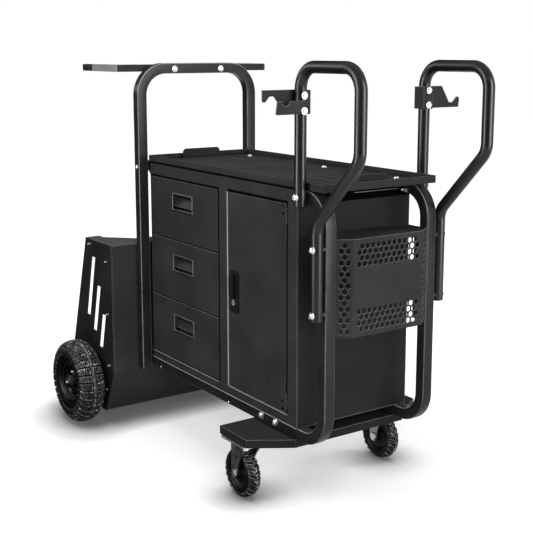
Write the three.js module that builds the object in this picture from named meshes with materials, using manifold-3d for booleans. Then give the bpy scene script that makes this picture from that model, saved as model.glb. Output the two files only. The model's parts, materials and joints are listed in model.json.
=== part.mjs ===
// Welding cart: two bent tube side frames, a rear push hoop, a sheet cabinet with drawers and a cupboard,
// a shallow top tray, a rack for gas bottles between pneumatic wheels, swivel casters under a folded
// platform, cable handles with hooks, and a hex perforated guard on the front end.
// Millimetres, +Z up, +X towards the caster end, -Y towards the drawers and the door.
// Sizes along X are counted from the back of the cabinet, and sizes along Z from the ground.
import * as THREE from 'three';
import { mergeGeometries, mergeVertices } from 'three/addons/utils/BufferGeometryUtils.js';
import Module from 'manifold-3d';

const wasm = await Module();
wasm.setup();

// General fits
const SEAT_GAP = 0.3;
const SHEET = 2;
const PLATE = 3;

// Cabinet
const CABINET_LENGTH = 756;
const CABINET_WIDTH = 360;
const CABINET_HEIGHT = 607.5;
const CABINET_BASE_STRIP = 27;
const CABINET_TOP_STRIP = 36;
const STILE_WIDTH = 50;
const END_STILE_WIDTH = 41.5;
const STILE_RETURN = 14;

// Drawers
const DRAWER_COUNT = 3;
const DRAWER_FRONT_WIDTH = 386.8;
const DRAWER_FRONT_DEPTH = 17;
const DRAWER_LINE = 3.4;
const HEAD_LINE = 5.5;
const TUB_DEPTH = 318;
const TUB_HEIGHT = 140;
const TUB_FLOOR_LIFT = 16;
const TUB_SIDE_INSET = 22;
const RAIL_WIDTH = 14;
const RAIL_THICKNESS = 8;
const RAIL_LIFT = 60;
const RUN_CLEARANCE = 0.6;
const PULL_WIDTH = 115;
const PULL_HEIGHT = 47;
const PULL_DEPTH = 27;
const PULL_DROP = 45;
const PULL_RIM = 3;
const PULL_RIM_PROUD = 1;
const PULL_BACK = 8;

// Door and its lock
const DOOR_DEPTH = 16;
const DOOR_LINE = 2.4;
const HINGE_LINE = 4.6;
const HINGE_PROUD = 0.5;
const HINGE_LENGTH = 40;
const HINGE_INSET = 10;
const HINGE_BARREL_RADIUS = 2;
const HINGE_PIN_RADIUS = 1.1;
const HINGE_LEAF = 17;
const HINGE_LEAF_THICKNESS = 1.2;
const LOCK_WIDTH = 41;
const LOCK_HEIGHT = 113;
const LOCK_PLATE_THICKNESS = 3;
const LOCK_CORNER = 6;
const LOCK_INSET = 8.8;
const LOCK_CENTRE_DROP = 273;
const LEVER_LENGTH = 66;
const LEVER_WIDTH = 20;
const LEVER_THICKNESS = 9;
const LEVER_CORNER = 9;
const SPINDLE_RADIUS = 6;
const SPINDLE_DROP = 16;
const CAM_LENGTH = 40;
const CAM_WIDTH = 14;
const CYLINDER_RADIUS = 8;
const CYLINDER_RISE = 27;
const KEY_SLOT = 2;
const KEY_SLOT_HEIGHT = 11;

// Side frames
const TUBE = 30;
const TUBE_CORNER = 5;
const FRAME_BEND = 72;
const FRAME_SPACER = 4;
const FRAME_NOSE = 108.5;
const RAIL_HEIGHT = 191;

// Rear hoop and push bar
const HOOP_WIDTH = 419;
const HOOP_TUBE = 31;
const HOOP_DEPTH = 26;
const HOOP_TOP = 1120;
const HOOP_FOOT = 182;
const HOOP_GAP = 16;
const HOOP_BEND = 80;
const BAR_WIDTH = 527;
const BAR_DEPTH = 25;
const BAR_HEIGHT = 21;
const BAR_DROP = 4;
const GRIP_WIDTH = 20;
const GRIP_REACH = 168;
const GRIP_WALL = 2;
const GRIP_CAP_LENGTH = 70;
const GRIP_CAP_CORNER = 3;

// Cable handles
const HANDLE_RADIUS = 14;
const HANDLE_BOSS = 6.5;
const HANDLE_BOSS_RADIUS = 8;
const HANDLE_BOSS_RISES = [172, 14];
const HANDLE_TAIL_OFFSET = 4;
const HANDLE_TOP = 1135;
const HANDLE_BEND = 53;
const HANDLE_SPAN = 224.5;
const HANDLE_REAR_OFFSET = 29.5;
const HANDLE_OVERLAP = 35.5;
const HANDLE_KNEE_DROP = 216;
const HANDLE_HIP_DROP = 378;
const HANDLE_TAIL = 232;

// Hook plates on the handles
const HOOK_BEND_GAP = 1;
const HOOK_HEIGHT = 56;
const HOOK_REACH = 97;
const HOOK_ARM_REACH = 80;
const HOOK_ARM_HEIGHT = 31;
const FAR_HOOK_REACH = 137;
const REAR_HOOK_HEEL = 62;
const FAR_HOOK_HEEL = 63;
const HOOK_CORNER = 3;
// Corners of the hooks' free edges: distance in from the tip, then height below the top edge,
// or above the base for the far hook
const REAR_HOOK_EDGE = [[0, 0], [0, 24], [3, 28], [8, 28], [20, 15], [33, 15], [43, 28]];
const FRONT_HOOK_EDGE = [
  [39.5, 0], [38, 6], [34, 10], [28.5, 11.5], [23, 10], [19, 6], [17.5, 0], [4, 0], [0, 28],
];
const FAR_HOOK_EDGE = [[2, 2], [0, 20], [2, 26], [8, 27.5], [23, 13], [36, 13]];

// Top tray
const TRAY_REAR = 11;
const TRAY_FRONT = 98;
const TRAY_WIDTH = 356;
const TRAY_LIP = 19;
const STOP_WIDTH = 130;
const FRONT_STOP_WIDTH = 122;
const FRONT_STOP_SLOPE = 21;
const STOP_HEIGHT = 32;
const STOP_SLOPE = 7;
const FRONT_STOP_INSET = 32;
const REAR_STOP_INSET = 7;
const BEAD_WIDTH = 5;
const BEAD_HEIGHT = 1.5;
const BEAD_LENGTH = 255;
const BEAD_SPACING = 46;
const BEAD_ROWS = 4;
const BEAD_REAR_START = 55;
const BEAD_FRONT_END = 45;

// Front guard
const GUARD_FACE_WIDTH = 218;
const GUARD_HEIGHT = 241;
const GUARD_BASE = 477;
const GUARD_PROUD = 22;
const GUARD_WING_DEPTH = 24;
const GUARD_TOP_DEPTH = 96;
const GUARD_FLANGE = 44;
const HEX_WIDTH = 12.6;
const HEX_PITCH = 16.7;
const HEX_ROWS = 4;
const HEX_EDGE_MARGIN = 19;
const HEX_SIDE_MARGIN = 17;
const WING_ROWS = 16;
const WING_EDGE_MARGIN = 15.2;

// Caster platform and casters
const PLATFORM_WIDTH = 562;
const PLATFORM_FRONT_INSET = 8.5;
const PLATFORM_LENGTH = 194.5;
const PLATFORM_CHAMFER_X = 67;
const PLATFORM_CHAMFER_Y = 104;
const PLATFORM_SKIRT = 21.5;
const CASTER_SEAT = 120;
const CASTER_EDGE = 45;
const CASTER_SETBACK = 126;
const CASTER_TRAIL = 28;
const CASTER_RADIUS = 66;
const CASTER_TYRE_WIDTH = 34;
const CASTER_RIM_RADIUS = 42;
const CASTER_RIM_LIP = 3;
const CASTER_HUB_RADIUS = 13.5;
const CASTER_CROWN_DROP = 2;
const CASTER_WALL_DROP = 9;
// Shares of the caster tyre's half width
const CASTER_CROWN = 0.3;
const CASTER_SHOULDER = 0.7;
const CASTER_BEAD = 0.8;
const CASTER_RIM_SPAN = 0.75;
const CASTER_WEB = 0.45;
const CASTER_PLATE_X = 116;
const CASTER_PLATE_Y = 100;
const CASTER_PLATE_THICKNESS = 4;
const CASTER_PLATE_CORNER = 8;
const CASTER_RACE_RADIUS = 31;
const CASTER_RACE_HEIGHT = 10;
const CASTER_RACE_CHAMFER = 5;
const KINGPIN_RADIUS = 6;
const FORK_SHEET = 4;
const FORK_SIDE_GAP = 3;
const FORK_EYE_RADIUS = 15;
const FORK_EYE_OFFSET = 4;
const CASTER_AXLE_RADIUS = 6;
const CASTER_NUT = 5;
const CASTER_NUT_RADIUS = 10;

// Bottle rack
const RACK_WIDTH = 595;
const RACK_TOP = 577;
const RACK_TOP_DEPTH = 181;
const RACK_REAR = 337;
const RACK_HEEL = 84;
const RACK_FLOOR = 38;
const RACK_WALL_FOOT = 180;
const RACK_FLOOR_SETBACK = 66;
const RACK_FLANGE = 44;
const RACK_FLOOR_LIP = 24;
const CRADLE_ARM = 44;
const CRADLE_CUT_START = 30;
const CRADLE_CUT_DEPTH = 80;
const SLOT_WIDTH = 25;
const SLOT_LENGTHS = [194, 150, 110];
const SLOT_TOP_DROPS = [55, 142, 227];
const SLOT_SETBACKS = [127, 94, 62];
const SLOT_LEAN = 0.25;

// Rear wheels
const WHEEL_RADIUS = 130;
const WHEEL_WIDTH = 79;
const WHEEL_SETBACK = 178;
const WHEEL_GAP = 21;
const TREAD_CROWN = 16;
const TREAD_GROOVE = 4;
const TREAD_SHOULDER_DROP = 22;
const TYRE_BELLY = 32;
const TYRE_FOOT = 18;
// Shares of the rear tyre's half width
const TREAD_RIB = [0.2, 0.66];
const TREAD_SHOULDER = 0.86;
const TYRE_FOOT_SHARE = 0.92;
const WHEEL_RIM_RADIUS = 62;
const RIM_WIDTH = 52;
const RIM_LIP = 7;
const RIM_LIP_PROUD = 1;
const RIM_DISH = 16;
const RIM_WEB = 9;
const HUB_RADIUS = 21;
const HUB_WIDTH = 72;
const STUB_RADIUS = 8;
const STUB_FLANGE_RADIUS = 34;
const STUB_FLANGE = 5;
const STUB_SPACER_RADIUS = 17;
const STUB_NUT_RADIUS = 15;
const RUNNING_FIT = 0.3;

// Facet counts
const TYRE_FACETS = 24;
const ROUND_FACETS = 14;
const SMALL_FACETS = 8;
const CASTER_FACETS = 16;
const NUT_FACETS = 6;
const TUBE_SEGMENTS = 5;
const BEND_STEPS = 4;

// Places that follow from the sizes above
const cabinetY = CABINET_WIDTH / 2;
const railTop = RAIL_HEIGHT + TUBE;
const cabinetBase = railTop + SEAT_GAP;
const cabinetTop = cabinetBase + CABINET_HEIGHT;
const bayBase = cabinetBase + CABINET_BASE_STRIP;
const bayTop = cabinetTop - CABINET_TOP_STRIP;
const drawerPitch = (bayTop - bayBase) / DRAWER_COUNT;
const stileStart = DRAWER_FRONT_WIDTH + DOOR_LINE;
const doorOpeningStart = stileStart + STILE_WIDTH;
const doorOpeningEnd = CABINET_LENGTH - END_STILE_WIDTH;
const hoopFront = -HOOP_GAP;
const hoopBack = hoopFront - HOOP_DEPTH;
const frameOuterY = HOOP_WIDTH / 2 - HOOP_TUBE - FRAME_SPACER;
const frameY = frameOuterY - TUBE / 2;
const frameInnerY = frameOuterY - TUBE;
const frameFront = CABINET_LENGTH + FRAME_NOSE;
const frameFrontCentre = frameFront - TUBE / 2;
const frameTopCentre = cabinetTop - TUBE / 2;
const trayBase = cabinetTop + SEAT_GAP;
const handleY = frameOuterY + HANDLE_BOSS + HANDLE_RADIUS;
const handleTail = frameFrontCentre + HANDLE_TAIL_OFFSET;
const handleRear = CABINET_LENGTH + HANDLE_REAR_OFFSET;
const handleFront = handleRear + HANDLE_SPAN;
const handleTopCentre = HANDLE_TOP - HANDLE_RADIUS;
const rackFront = hoopBack - SEAT_GAP;
const rackY = RACK_WIDTH / 2;
const platformTop = RAIL_HEIGHT - SEAT_GAP;
const platformFront = CABINET_LENGTH - PLATFORM_FRONT_INSET;
const platformBase = platformTop - PLATFORM_SKIRT;
const wheelX = -WHEEL_SETBACK;
const wheelY = rackY + WHEEL_GAP + WHEEL_WIDTH / 2;
const casterX = platformFront - CASTER_SETBACK;
const casterY = PLATFORM_WIDTH / 2 - CASTER_EDGE;
const rackRear = rackFront - RACK_REAR;
const middleX = (handleFront + HANDLE_RADIUS + rackRear) / 2;

// Finishes
const finish = (color, roughness, metalness) => ({ color, roughness, metalness });
const POWDER_BLACK = finish(0x2b2b2d, 0.45, 0.2);
const ZINC = finish(0xb9bcc0, 0.35, 0.9);
const RUBBER = finish(0x161616, 0.85, 0);
const GRIP_GREY = finish(0x9a9b9c, 0.5, 0.1);
const PLASTIC_BLACK = finish(0x18181a, 0.55, 0);

const cart = new THREE.Group();
cart.name = 'welding_cart';
cart.position.x = -middleX;

function addPart(name, geometry, look) {
  const mesh = new THREE.Mesh(geometry, new THREE.MeshStandardMaterial(look));
  mesh.name = name;
  cart.add(mesh);
}

// Solids and booleans

// Position-only geometry with shared corners and no collapsed triangles.
function tidy(geometry) {
  const bare = geometry.clone();
  bare.deleteAttribute('normal');
  bare.deleteAttribute('uv');
  const merged = mergeVertices(bare, 1e-4);
  const index = Array.from(merged.index.array);
  const kept = [];
  for (let i = 0; i < index.length; i += 3) {
    const [a, b, c] = index.slice(i, i + 3);
    if (a !== b && b !== c && c !== a) kept.push(a, b, c);
  }
  merged.setIndex(kept);
  return merged;
}

function solid(geometry) {
  const bare = tidy(geometry);
  return new wasm.Manifold(new wasm.Mesh({
    numProp: 3,
    vertProperties: new Float32Array(bare.attributes.position.array),
    triVerts: new Uint32Array(bare.index.array),
  }));
}

function geometryOf(manifold) {
  const mesh = manifold.getMesh();
  const geometry = new THREE.BufferGeometry();
  geometry.setAttribute('position', new THREE.BufferAttribute(new Float32Array(mesh.vertProperties), 3));
  geometry.setIndex(Array.from(mesh.triVerts));
  return geometry;
}

const join = (...pieces) => geometryOf(pieces.map(solid).reduce((all, next) => all.add(next)));
const cut = (piece, ...tools) => geometryOf(
  tools.map(solid).reduce((all, tool) => all.subtract(tool), solid(piece)),
);
const common = (first, second) => geometryOf(solid(first).intersect(solid(second)));

// Flat outlines and prisms

const outline = (points) => new THREE.Shape(points.map(([a, b]) => new THREE.Vector2(a, b)));

function rectangle(a0, a1, b0, b1) {
  return outline([[a0, b0], [a1, b0], [a1, b1], [a0, b1]]);
}

function roundedRectangle(width, height, radius) {
  const shape = new THREE.Shape();
  const x = width / 2 - radius;
  const y = height / 2 - radius;
  shape.absarc(x, -y, radius, -Math.PI / 2, 0);
  shape.absarc(x, y, radius, 0, Math.PI / 2);
  shape.absarc(-x, y, radius, Math.PI / 2, Math.PI);
  shape.absarc(-x, -y, radius, Math.PI, 1.5 * Math.PI);
  return shape;
}

// A folded sheet seen from its edge: the fold line with the sheet thickness on its left side.
function foldedStrip(points, thickness) {
  const line = points.map(([a, b]) => new THREE.Vector2(a, b));
  const normals = line.slice(1).map((p, i) => {
    const along = p.clone().sub(line[i]).normalize();
    return new THREE.Vector2(-along.y, along.x);
  });
  const inner = line.map((p, i) => {
    const before = normals[Math.max(i - 1, 0)];
    const after = normals[Math.min(i, normals.length - 1)];
    const mitre = before.clone().add(after);
    return p.clone().addScaledVector(mitre, thickness / (1 + before.dot(after)));
  });
  return new THREE.Shape([...line, ...inner.reverse()]);
}

const AXES = {
  xy: [[1, 0, 0], [0, 1, 0], [0, 0, 1]],
  xz: [[1, 0, 0], [0, 0, 1], [0, -1, 0]],
  yz: [[0, 1, 0], [0, 0, 1], [1, 0, 0]],
};

// A prism of an outline drawn in one of the main planes, from `from` to `to` along the plane's normal.
function prism(plane, shape, from, to, curveSegments = 4) {
  const depth = to - from;
  const geometry = new THREE.ExtrudeGeometry(shape, { depth, bevelEnabled: false, curveSegments });
  const [a, b, c] = AXES[plane].map((axis) => new THREE.Vector3(...axis));
  geometry.applyMatrix4(new THREE.Matrix4().makeBasis(a, b, c));
  const start = plane === 'xz' ? to : from;
  return geometry.translate(...{ xy: [0, 0, start], xz: [0, start, 0], yz: [start, 0, 0] }[plane]);
}

const block = (x0, x1, y0, y1, z0, z1) => prism('xy', rectangle(x0, x1, y0, y1), z0, z1);

const mirrorY = (points) => points.map(([a, b]) => [-a, b]).reverse();

// A body of revolution about an axis along Y, with a flat facet at its lowest point.
function turned(profile, facets) {
  const stretch = 1 / Math.cos(Math.PI / facets);
  const points = profile.map(([radius, along]) => new THREE.Vector2(radius * stretch, along));
  return new THREE.LatheGeometry(points, facets, Math.PI / facets);
}

// A closed wheel profile from its half on the positive side of the wheel's middle plane.
function bothSides(half) {
  const other = half.map(([radius, along]) => [radius, -along]).reverse();
  return [...other, ...half, other[0]];
}

const upright = (geometry) => geometry.rotateX(Math.PI / 2);

function disc(radius, from, to, facets = ROUND_FACETS) {
  return turned([[0, from], [radius, from], [radius, to], [0, to]], facets);
}

// A bent tube's centre line: straight runs joined by arcs, with sections only where the line turns.
class BentLine extends THREE.Curve {
  constructor(corners, bend) {
    super();
    this.stations = [];
    const at = corners.map((corner) => new THREE.Vector3(...corner));
    const last = at.length - 1;
    const heading = (i) => at[i + 1].clone().sub(at[i]).normalize();
    this.stations.push({ point: at[0], tangent: heading(0) });
    for (let i = 1; i < last; i += 1) this.addBend(at[i], heading(i - 1), heading(i), bend);
    this.stations.push({ point: at[last], tangent: heading(last - 1) });
  }

  addBend(corner, before, after, bend) {
    const angle = before.angleTo(after);
    const axis = before.clone().cross(after).normalize();
    const inward = axis.clone().cross(before);
    const start = corner.clone().addScaledVector(before, -bend * Math.tan(angle / 2));
    const centre = start.clone().addScaledVector(inward, bend);
    const steps = Math.ceil(BEND_STEPS * angle / (Math.PI / 2) - 1e-6);
    for (let step = 0; step <= steps; step += 1) {
      const turn = angle * step / steps;
      const spoke = inward.clone().multiplyScalar(-bend).applyAxisAngle(axis, turn);
      const tangent = before.clone().applyAxisAngle(axis, turn);
      this.stations.push({ point: centre.clone().add(spoke), tangent });
    }
  }

  station(u) {
    return this.stations[Math.round(u * (this.stations.length - 1))];
  }

  getPointAt(u) {
    return this.station(u).point.clone();
  }

  getTangentAt(u) {
    return this.station(u).tangent.clone();
  }
}

function bentTube(corners, bend, section, curveSegments) {
  const line = new BentLine(corners, bend);
  return new THREE.ExtrudeGeometry(section, {
    extrudePath: line, steps: line.stations.length - 1, bevelEnabled: false, curveSegments,
  });
}

// Side frames: bottom rail, front upright and top rail bent from one square tube
function sideFrame(side) {
  const y = side * frameY;
  const low = RAIL_HEIGHT + TUBE / 2;
  const corners = [
    [hoopBack, y, low], [frameFrontCentre, y, low],
    [frameFrontCentre, y, frameTopCentre], [hoopBack, y, frameTopCentre],
  ];
  return bentTube(corners, FRAME_BEND, roundedRectangle(TUBE, TUBE, TUBE_CORNER), 1);
}

// Rear hoop and the push bar bolted behind its top
function rearHoop() {
  const x = hoopBack + HOOP_DEPTH / 2;
  const y = (HOOP_WIDTH - HOOP_TUBE) / 2;
  const top = HOOP_TOP - HOOP_TUBE / 2;
  const corners = [[x, -y, HOOP_FOOT], [x, -y, top], [x, y, top], [x, y, HOOP_FOOT]];
  return bentTube(corners, HOOP_BEND, roundedRectangle(HOOP_TUBE, HOOP_DEPTH, TUBE_CORNER), 1);
}

const barFront = hoopBack - SEAT_GAP;
const barBack = barFront - BAR_DEPTH;
const barTop = HOOP_TOP - BAR_DROP;
const barBase = barTop - BAR_HEIGHT;

function pushBar() {
  const half = BAR_WIDTH / 2 - GRIP_WALL - SEAT_GAP;
  return block(barBack, barFront, -half, half, barBase, barTop);
}

// A grip arm laps over the end of the bar with its outer wall.
function pushGrip(side) {
  const outer = BAR_WIDTH / 2;
  const plan = [
    [barFront - GRIP_REACH, outer - GRIP_WIDTH], [barBack - SEAT_GAP, outer - GRIP_WIDTH],
    [barBack - SEAT_GAP, outer - GRIP_WALL], [barFront, outer - GRIP_WALL],
    [barFront, outer], [barFront - GRIP_REACH, outer],
  ];
  const turnedPlan = side > 0 ? plan : plan.map(([x, y]) => [x, -y]).reverse();
  return prism('xy', outline(turnedPlan), barBase, barTop);
}

function pushGripCap(side) {
  const end = barFront - GRIP_REACH - SEAT_GAP;
  const section = roundedRectangle(GRIP_WIDTH, BAR_HEIGHT, GRIP_CAP_CORNER);
  const cap = prism('yz', section, end - GRIP_CAP_LENGTH, end, 2);
  return cap.translate(0, side * (BAR_WIDTH - GRIP_WIDTH) / 2, (barBase + barTop) / 2);
}

// Cable handles: a tall loop that leans back to the front upright, on bosses that seat on the side frame
function handle(side) {
  const y = side * handleY;
  const hip = HANDLE_TOP - HANDLE_HIP_DROP;
  const tailEnd = hip - HANDLE_TAIL;
  const corners = [
    [handleRear, y, cabinetTop - HANDLE_OVERLAP], [handleRear, y, handleTopCentre],
    [handleFront, y, handleTopCentre], [handleFront, y, HANDLE_TOP - HANDLE_KNEE_DROP],
    [handleTail, y, hip], [handleTail, y, tailEnd],
  ];
  const section = new THREE.Shape();
  section.absarc(0, 0, HANDLE_RADIUS, 0, 2 * Math.PI);
  const seat = side * (frameOuterY + SEAT_GAP);
  const [from, to] = [seat, y].sort((a, b) => a - b);
  const boss = (x, z) => disc(HANDLE_BOSS_RADIUS, from, to, SMALL_FACETS).translate(x, 0, z);
  const bosses = HANDLE_BOSS_RISES.map((rise) => boss(handleTail, tailEnd + rise));
  const tube = bentTube(corners, HANDLE_BEND, section, TUBE_SEGMENTS);
  return join(tube, boss(handleRear, frameTopCentre), ...bosses);
}

// Hook plates: one folded strap round the rear leg of each handle
const hookTop = handleTopCentre - HANDLE_BEND - HOOK_BEND_GAP;
const hookBase = hookTop - HOOK_HEIGHT;
const strapX = HANDLE_RADIUS + SEAT_GAP;

// A strap seen from above, round the inner side of the tube; `rear` and `front` reach out from the tube.
function hookStrap(side, rear, front) {
  const inner = side * (handleY - strapX);
  const line = [
    [handleRear - strapX, side * (handleY + rear)], [handleRear - strapX, inner],
    [handleRear + strapX, inner], [handleRear + strapX, side * (handleY + front)],
  ];
  return prism('xy', foldedStrip(side < 0 ? line : line.reverse(), PLATE), hookBase, hookTop, 1);
}

// Near side: two notched arms, the rear one hooked down and the front one hollowed from above
function hookLeft() {
  const inner = -handleY + strapX + PLATE;
  const tip = -handleY - HOOK_REACH;
  const rearArm = outline([
    ...REAR_HOOK_EDGE.map(([inset, drop]) => [tip + inset, hookTop - drop]),
    [tip + REAR_HOOK_HEEL, hookBase], [inner, hookBase], [inner, hookTop],
  ]);
  const frontTip = -handleY - HOOK_ARM_REACH;
  const armTop = hookBase + HOOK_ARM_HEIGHT;
  const frontArm = outline([
    [frontTip + HOOK_CORNER, hookBase], [inner, hookBase], [inner, hookTop],
    [-handleY, hookTop], [-handleY, armTop],
    ...FRONT_HOOK_EDGE.map(([inset, drop]) => [frontTip + inset, armTop - drop]),
  ]);
  const arms = join(prism('yz', rearArm, 0, handleRear), prism('yz', frontArm, handleRear, handleFront));
  return common(hookStrap(-1, HOOK_REACH, HOOK_ARM_REACH), arms);
}

// Far side: a short front strip and one long arm with an upturned tip
function hookRight() {
  const inner = handleY - strapX - PLATE;
  const tip = handleY + FAR_HOOK_REACH;
  const profile = outline([
    [inner, hookBase], [tip - HOOK_CORNER, hookBase],
    ...FAR_HOOK_EDGE.map(([inset, rise]) => [tip - inset, hookBase + rise]),
    [tip - FAR_HOOK_HEEL, hookTop], [inner, hookTop],
  ]);
  return common(hookStrap(1, FAR_HOOK_REACH, HANDLE_RADIUS), prism('yz', profile, 0, handleFront));
}

// Top tray: pan with an upstanding lip, two stops and pressed beads
function topTray() {
  const back = -TRAY_REAR;
  const front = CABINET_LENGTH + TRAY_FRONT;
  const y = TRAY_WIDTH / 2;
  const top = trayBase + TRAY_LIP;
  const shell = cut(
    block(back, front, -y, y, trayBase, top),
    block(back + SHEET, front - SHEET, SHEET - y, y - SHEET, trayBase + SHEET, top + SHEET),
  );
  const stopAt = (x, width, slope, shoulder) => {
    const half = width / 2;
    const stopTop = trayBase + STOP_HEIGHT;
    const face = outline([
      [-half, trayBase], [half, trayBase], [half, stopTop - shoulder], [half - slope, stopTop],
      [slope - half, stopTop], [-half, stopTop - shoulder],
    ]);
    return prism('yz', face, x, x + SHEET);
  };
  const beads = [];
  for (let row = 0; row < BEAD_ROWS; row += 1) {
    const beadY = (row - (BEAD_ROWS - 1) / 2) * BEAD_SPACING;
    const frontStart = front - FRONT_STOP_INSET - BEAD_FRONT_END - BEAD_LENGTH;
    for (const start of [BEAD_REAR_START, frontStart]) {
      const bead = outline([
        [beadY - BEAD_WIDTH / 2, trayBase + SHEET / 2], [beadY + BEAD_WIDTH / 2, trayBase + SHEET / 2],
        [beadY + BEAD_WIDTH / 4, trayBase + SHEET + BEAD_HEIGHT],
        [beadY - BEAD_WIDTH / 4, trayBase + SHEET + BEAD_HEIGHT],
      ]);
      beads.push(prism('yz', bead, start, start + BEAD_LENGTH));
    }
  }
  const rearStop = stopAt(back + REAR_STOP_INSET, STOP_WIDTH, STOP_SLOPE, STOP_SLOPE);
  const shoulder = STOP_HEIGHT - SHEET;
  const frontStop = stopAt(front - FRONT_STOP_INSET, FRONT_STOP_WIDTH, FRONT_STOP_SLOPE, shoulder);
  return join(shell, rearStop, frontStop, ...beads);
}

// Cabinet: open-topped sheet box, closed at its front end by an inset panel
const bayFrontDepth = DRAWER_FRONT_DEPTH + SEAT_GAP;

function railNotches(x0, x1) {
  const notchBase = frameTopCentre - TUBE / 2 - SEAT_GAP;
  const y0 = frameInnerY - SEAT_GAP;
  const y1 = frameOuterY + SEAT_GAP;
  return [-1, 1].map((side) => block(
    x0, x1, Math.min(side * y0, side * y1), Math.max(side * y0, side * y1), notchBase, cabinetTop + SHEET,
  ));
}

function cabinetShell() {
  const y = cabinetY;
  const outer = block(0, CABINET_LENGTH, -y, y, cabinetBase, cabinetTop);
  const hollow = block(
    SHEET, CABINET_LENGTH + SHEET, SHEET - y, y - SHEET, cabinetBase + SHEET, cabinetTop + SHEET,
  );
  const drawerBay = block(-SHEET, stileStart, -y - SHEET, -y + bayFrontDepth, bayBase, bayTop);
  const doorway = block(doorOpeningStart, doorOpeningEnd, -y - SHEET, 0, bayBase, bayTop);
  const stileReturn = block(
    doorOpeningStart - SHEET, doorOpeningStart, SHEET / 2 - y, STILE_RETURN - y,
    cabinetBase + SHEET / 2, bayTop,
  );
  const box = cut(outer, hollow, drawerBay, doorway, ...railNotches(-SHEET, 2 * SHEET));
  return join(box, stileReturn);
}

function endPanel() {
  const y = cabinetY - SHEET - SEAT_GAP;
  const base = cabinetBase + SHEET + SEAT_GAP;
  const x0 = CABINET_LENGTH - SHEET;
  return cut(
    block(x0, CABINET_LENGTH, -y, y, base, cabinetTop - SEAT_GAP),
    ...railNotches(x0 - SHEET, CABINET_LENGTH + SHEET),
  );
}

const dividerX = stileStart + 2 * SHEET;
const railBand = frameTopCentre - TUBE / 2 - SEAT_GAP;

function divider() {
  const y = cabinetY - SHEET - SEAT_GAP;
  const base = cabinetBase + SHEET + SEAT_GAP;
  return block(dividerX, dividerX + SHEET, -y, y, base, railBand);
}

// Drawers
const tubLeft = TUB_SIDE_INSET + SHEET;
const tubRight = dividerX - TUB_SIDE_INSET;
const frontBack = -cabinetY + DRAWER_FRONT_DEPTH;
const tubFront = frontBack + SEAT_GAP;
const drawerBase = (number) => bayTop - number * drawerPitch;
const railBase = (number) => drawerBase(number) + RAIL_LIFT;

// A runner panel carries one channel for each drawer, open towards the tub.
function runnerPanel(wallX, inward) {
  const y0 = tubFront;
  const y1 = tubFront + TUB_DEPTH;
  const back = wallX + inward * SHEET;
  const lip = wallX + inward * (TUB_SIDE_INSET - SHEET);
  const span = (x0, x1, z0, z1) => block(Math.min(x0, x1), Math.max(x0, x1), y0, y1, z0, z1);
  const pieces = [span(wallX, back, railBase(DRAWER_COUNT) - RAIL_LIFT / 2, bayTop)];
  for (let number = 1; number <= DRAWER_COUNT; number += 1) {
    const low = railBase(number) - RUN_CLEARANCE;
    const high = railBase(number) + RAIL_THICKNESS + RUN_CLEARANCE;
    pieces.push(span(wallX, lip, low - SHEET, low), span(wallX, lip, high, high + SHEET));
  }
  return join(...pieces);
}

const pullCentre = DRAWER_FRONT_WIDTH / 2;
const pullTop = (number) => drawerBase(number) + drawerPitch - PULL_DROP;

function drawerFront(number) {
  const x1 = DRAWER_FRONT_WIDTH;
  const z0 = drawerBase(number) + DRAWER_LINE / 2;
  const lineAbove = number === 1 ? HEAD_LINE : DRAWER_LINE / 2;
  const z1 = drawerBase(number) + drawerPitch - lineAbove;
  const y0 = -cabinetY;
  const skin = block(0, x1, y0, frontBack, z0, z1);
  const hollow = block(SHEET, x1 - SHEET, y0 + SHEET, frontBack + SHEET, z0 + SHEET, z1 - SHEET);
  return cut(skin, hollow, pullHole(number, y0 - SHEET, frontBack + SHEET));
}

function pullHole(number, y0, y1) {
  const half = PULL_WIDTH / 2 + SEAT_GAP;
  return block(
    pullCentre - half, pullCentre + half, y0, y1,
    pullTop(number) - PULL_HEIGHT - SEAT_GAP, pullTop(number) + SEAT_GAP,
  );
}

// Open-topped tub with a slide rail along each side
function drawerTub(number) {
  const z0 = drawerBase(number) + TUB_FLOOR_LIFT;
  const z1 = z0 + TUB_HEIGHT;
  const y1 = tubFront + TUB_DEPTH;
  const outer = block(tubLeft, tubRight, tubFront, y1, z0, z1);
  const hollow = block(
    tubLeft + SHEET, tubRight - SHEET, tubFront + SHEET, y1 - SHEET, z0 + SHEET, z1 + SHEET,
  );
  const tub = cut(outer, hollow, pullHole(number, tubFront - SHEET, tubFront + 2 * SHEET));
  const low = railBase(number);
  const rail = (x0, x1) => block(x0, x1, tubFront, y1, low, low + RAIL_THICKNESS);
  const leftRail = rail(tubLeft - RAIL_WIDTH, tubLeft + SHEET / 2);
  const rightRail = rail(tubRight - SHEET / 2, tubRight + RAIL_WIDTH);
  return join(tub, leftRail, rightRail);
}

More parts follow.
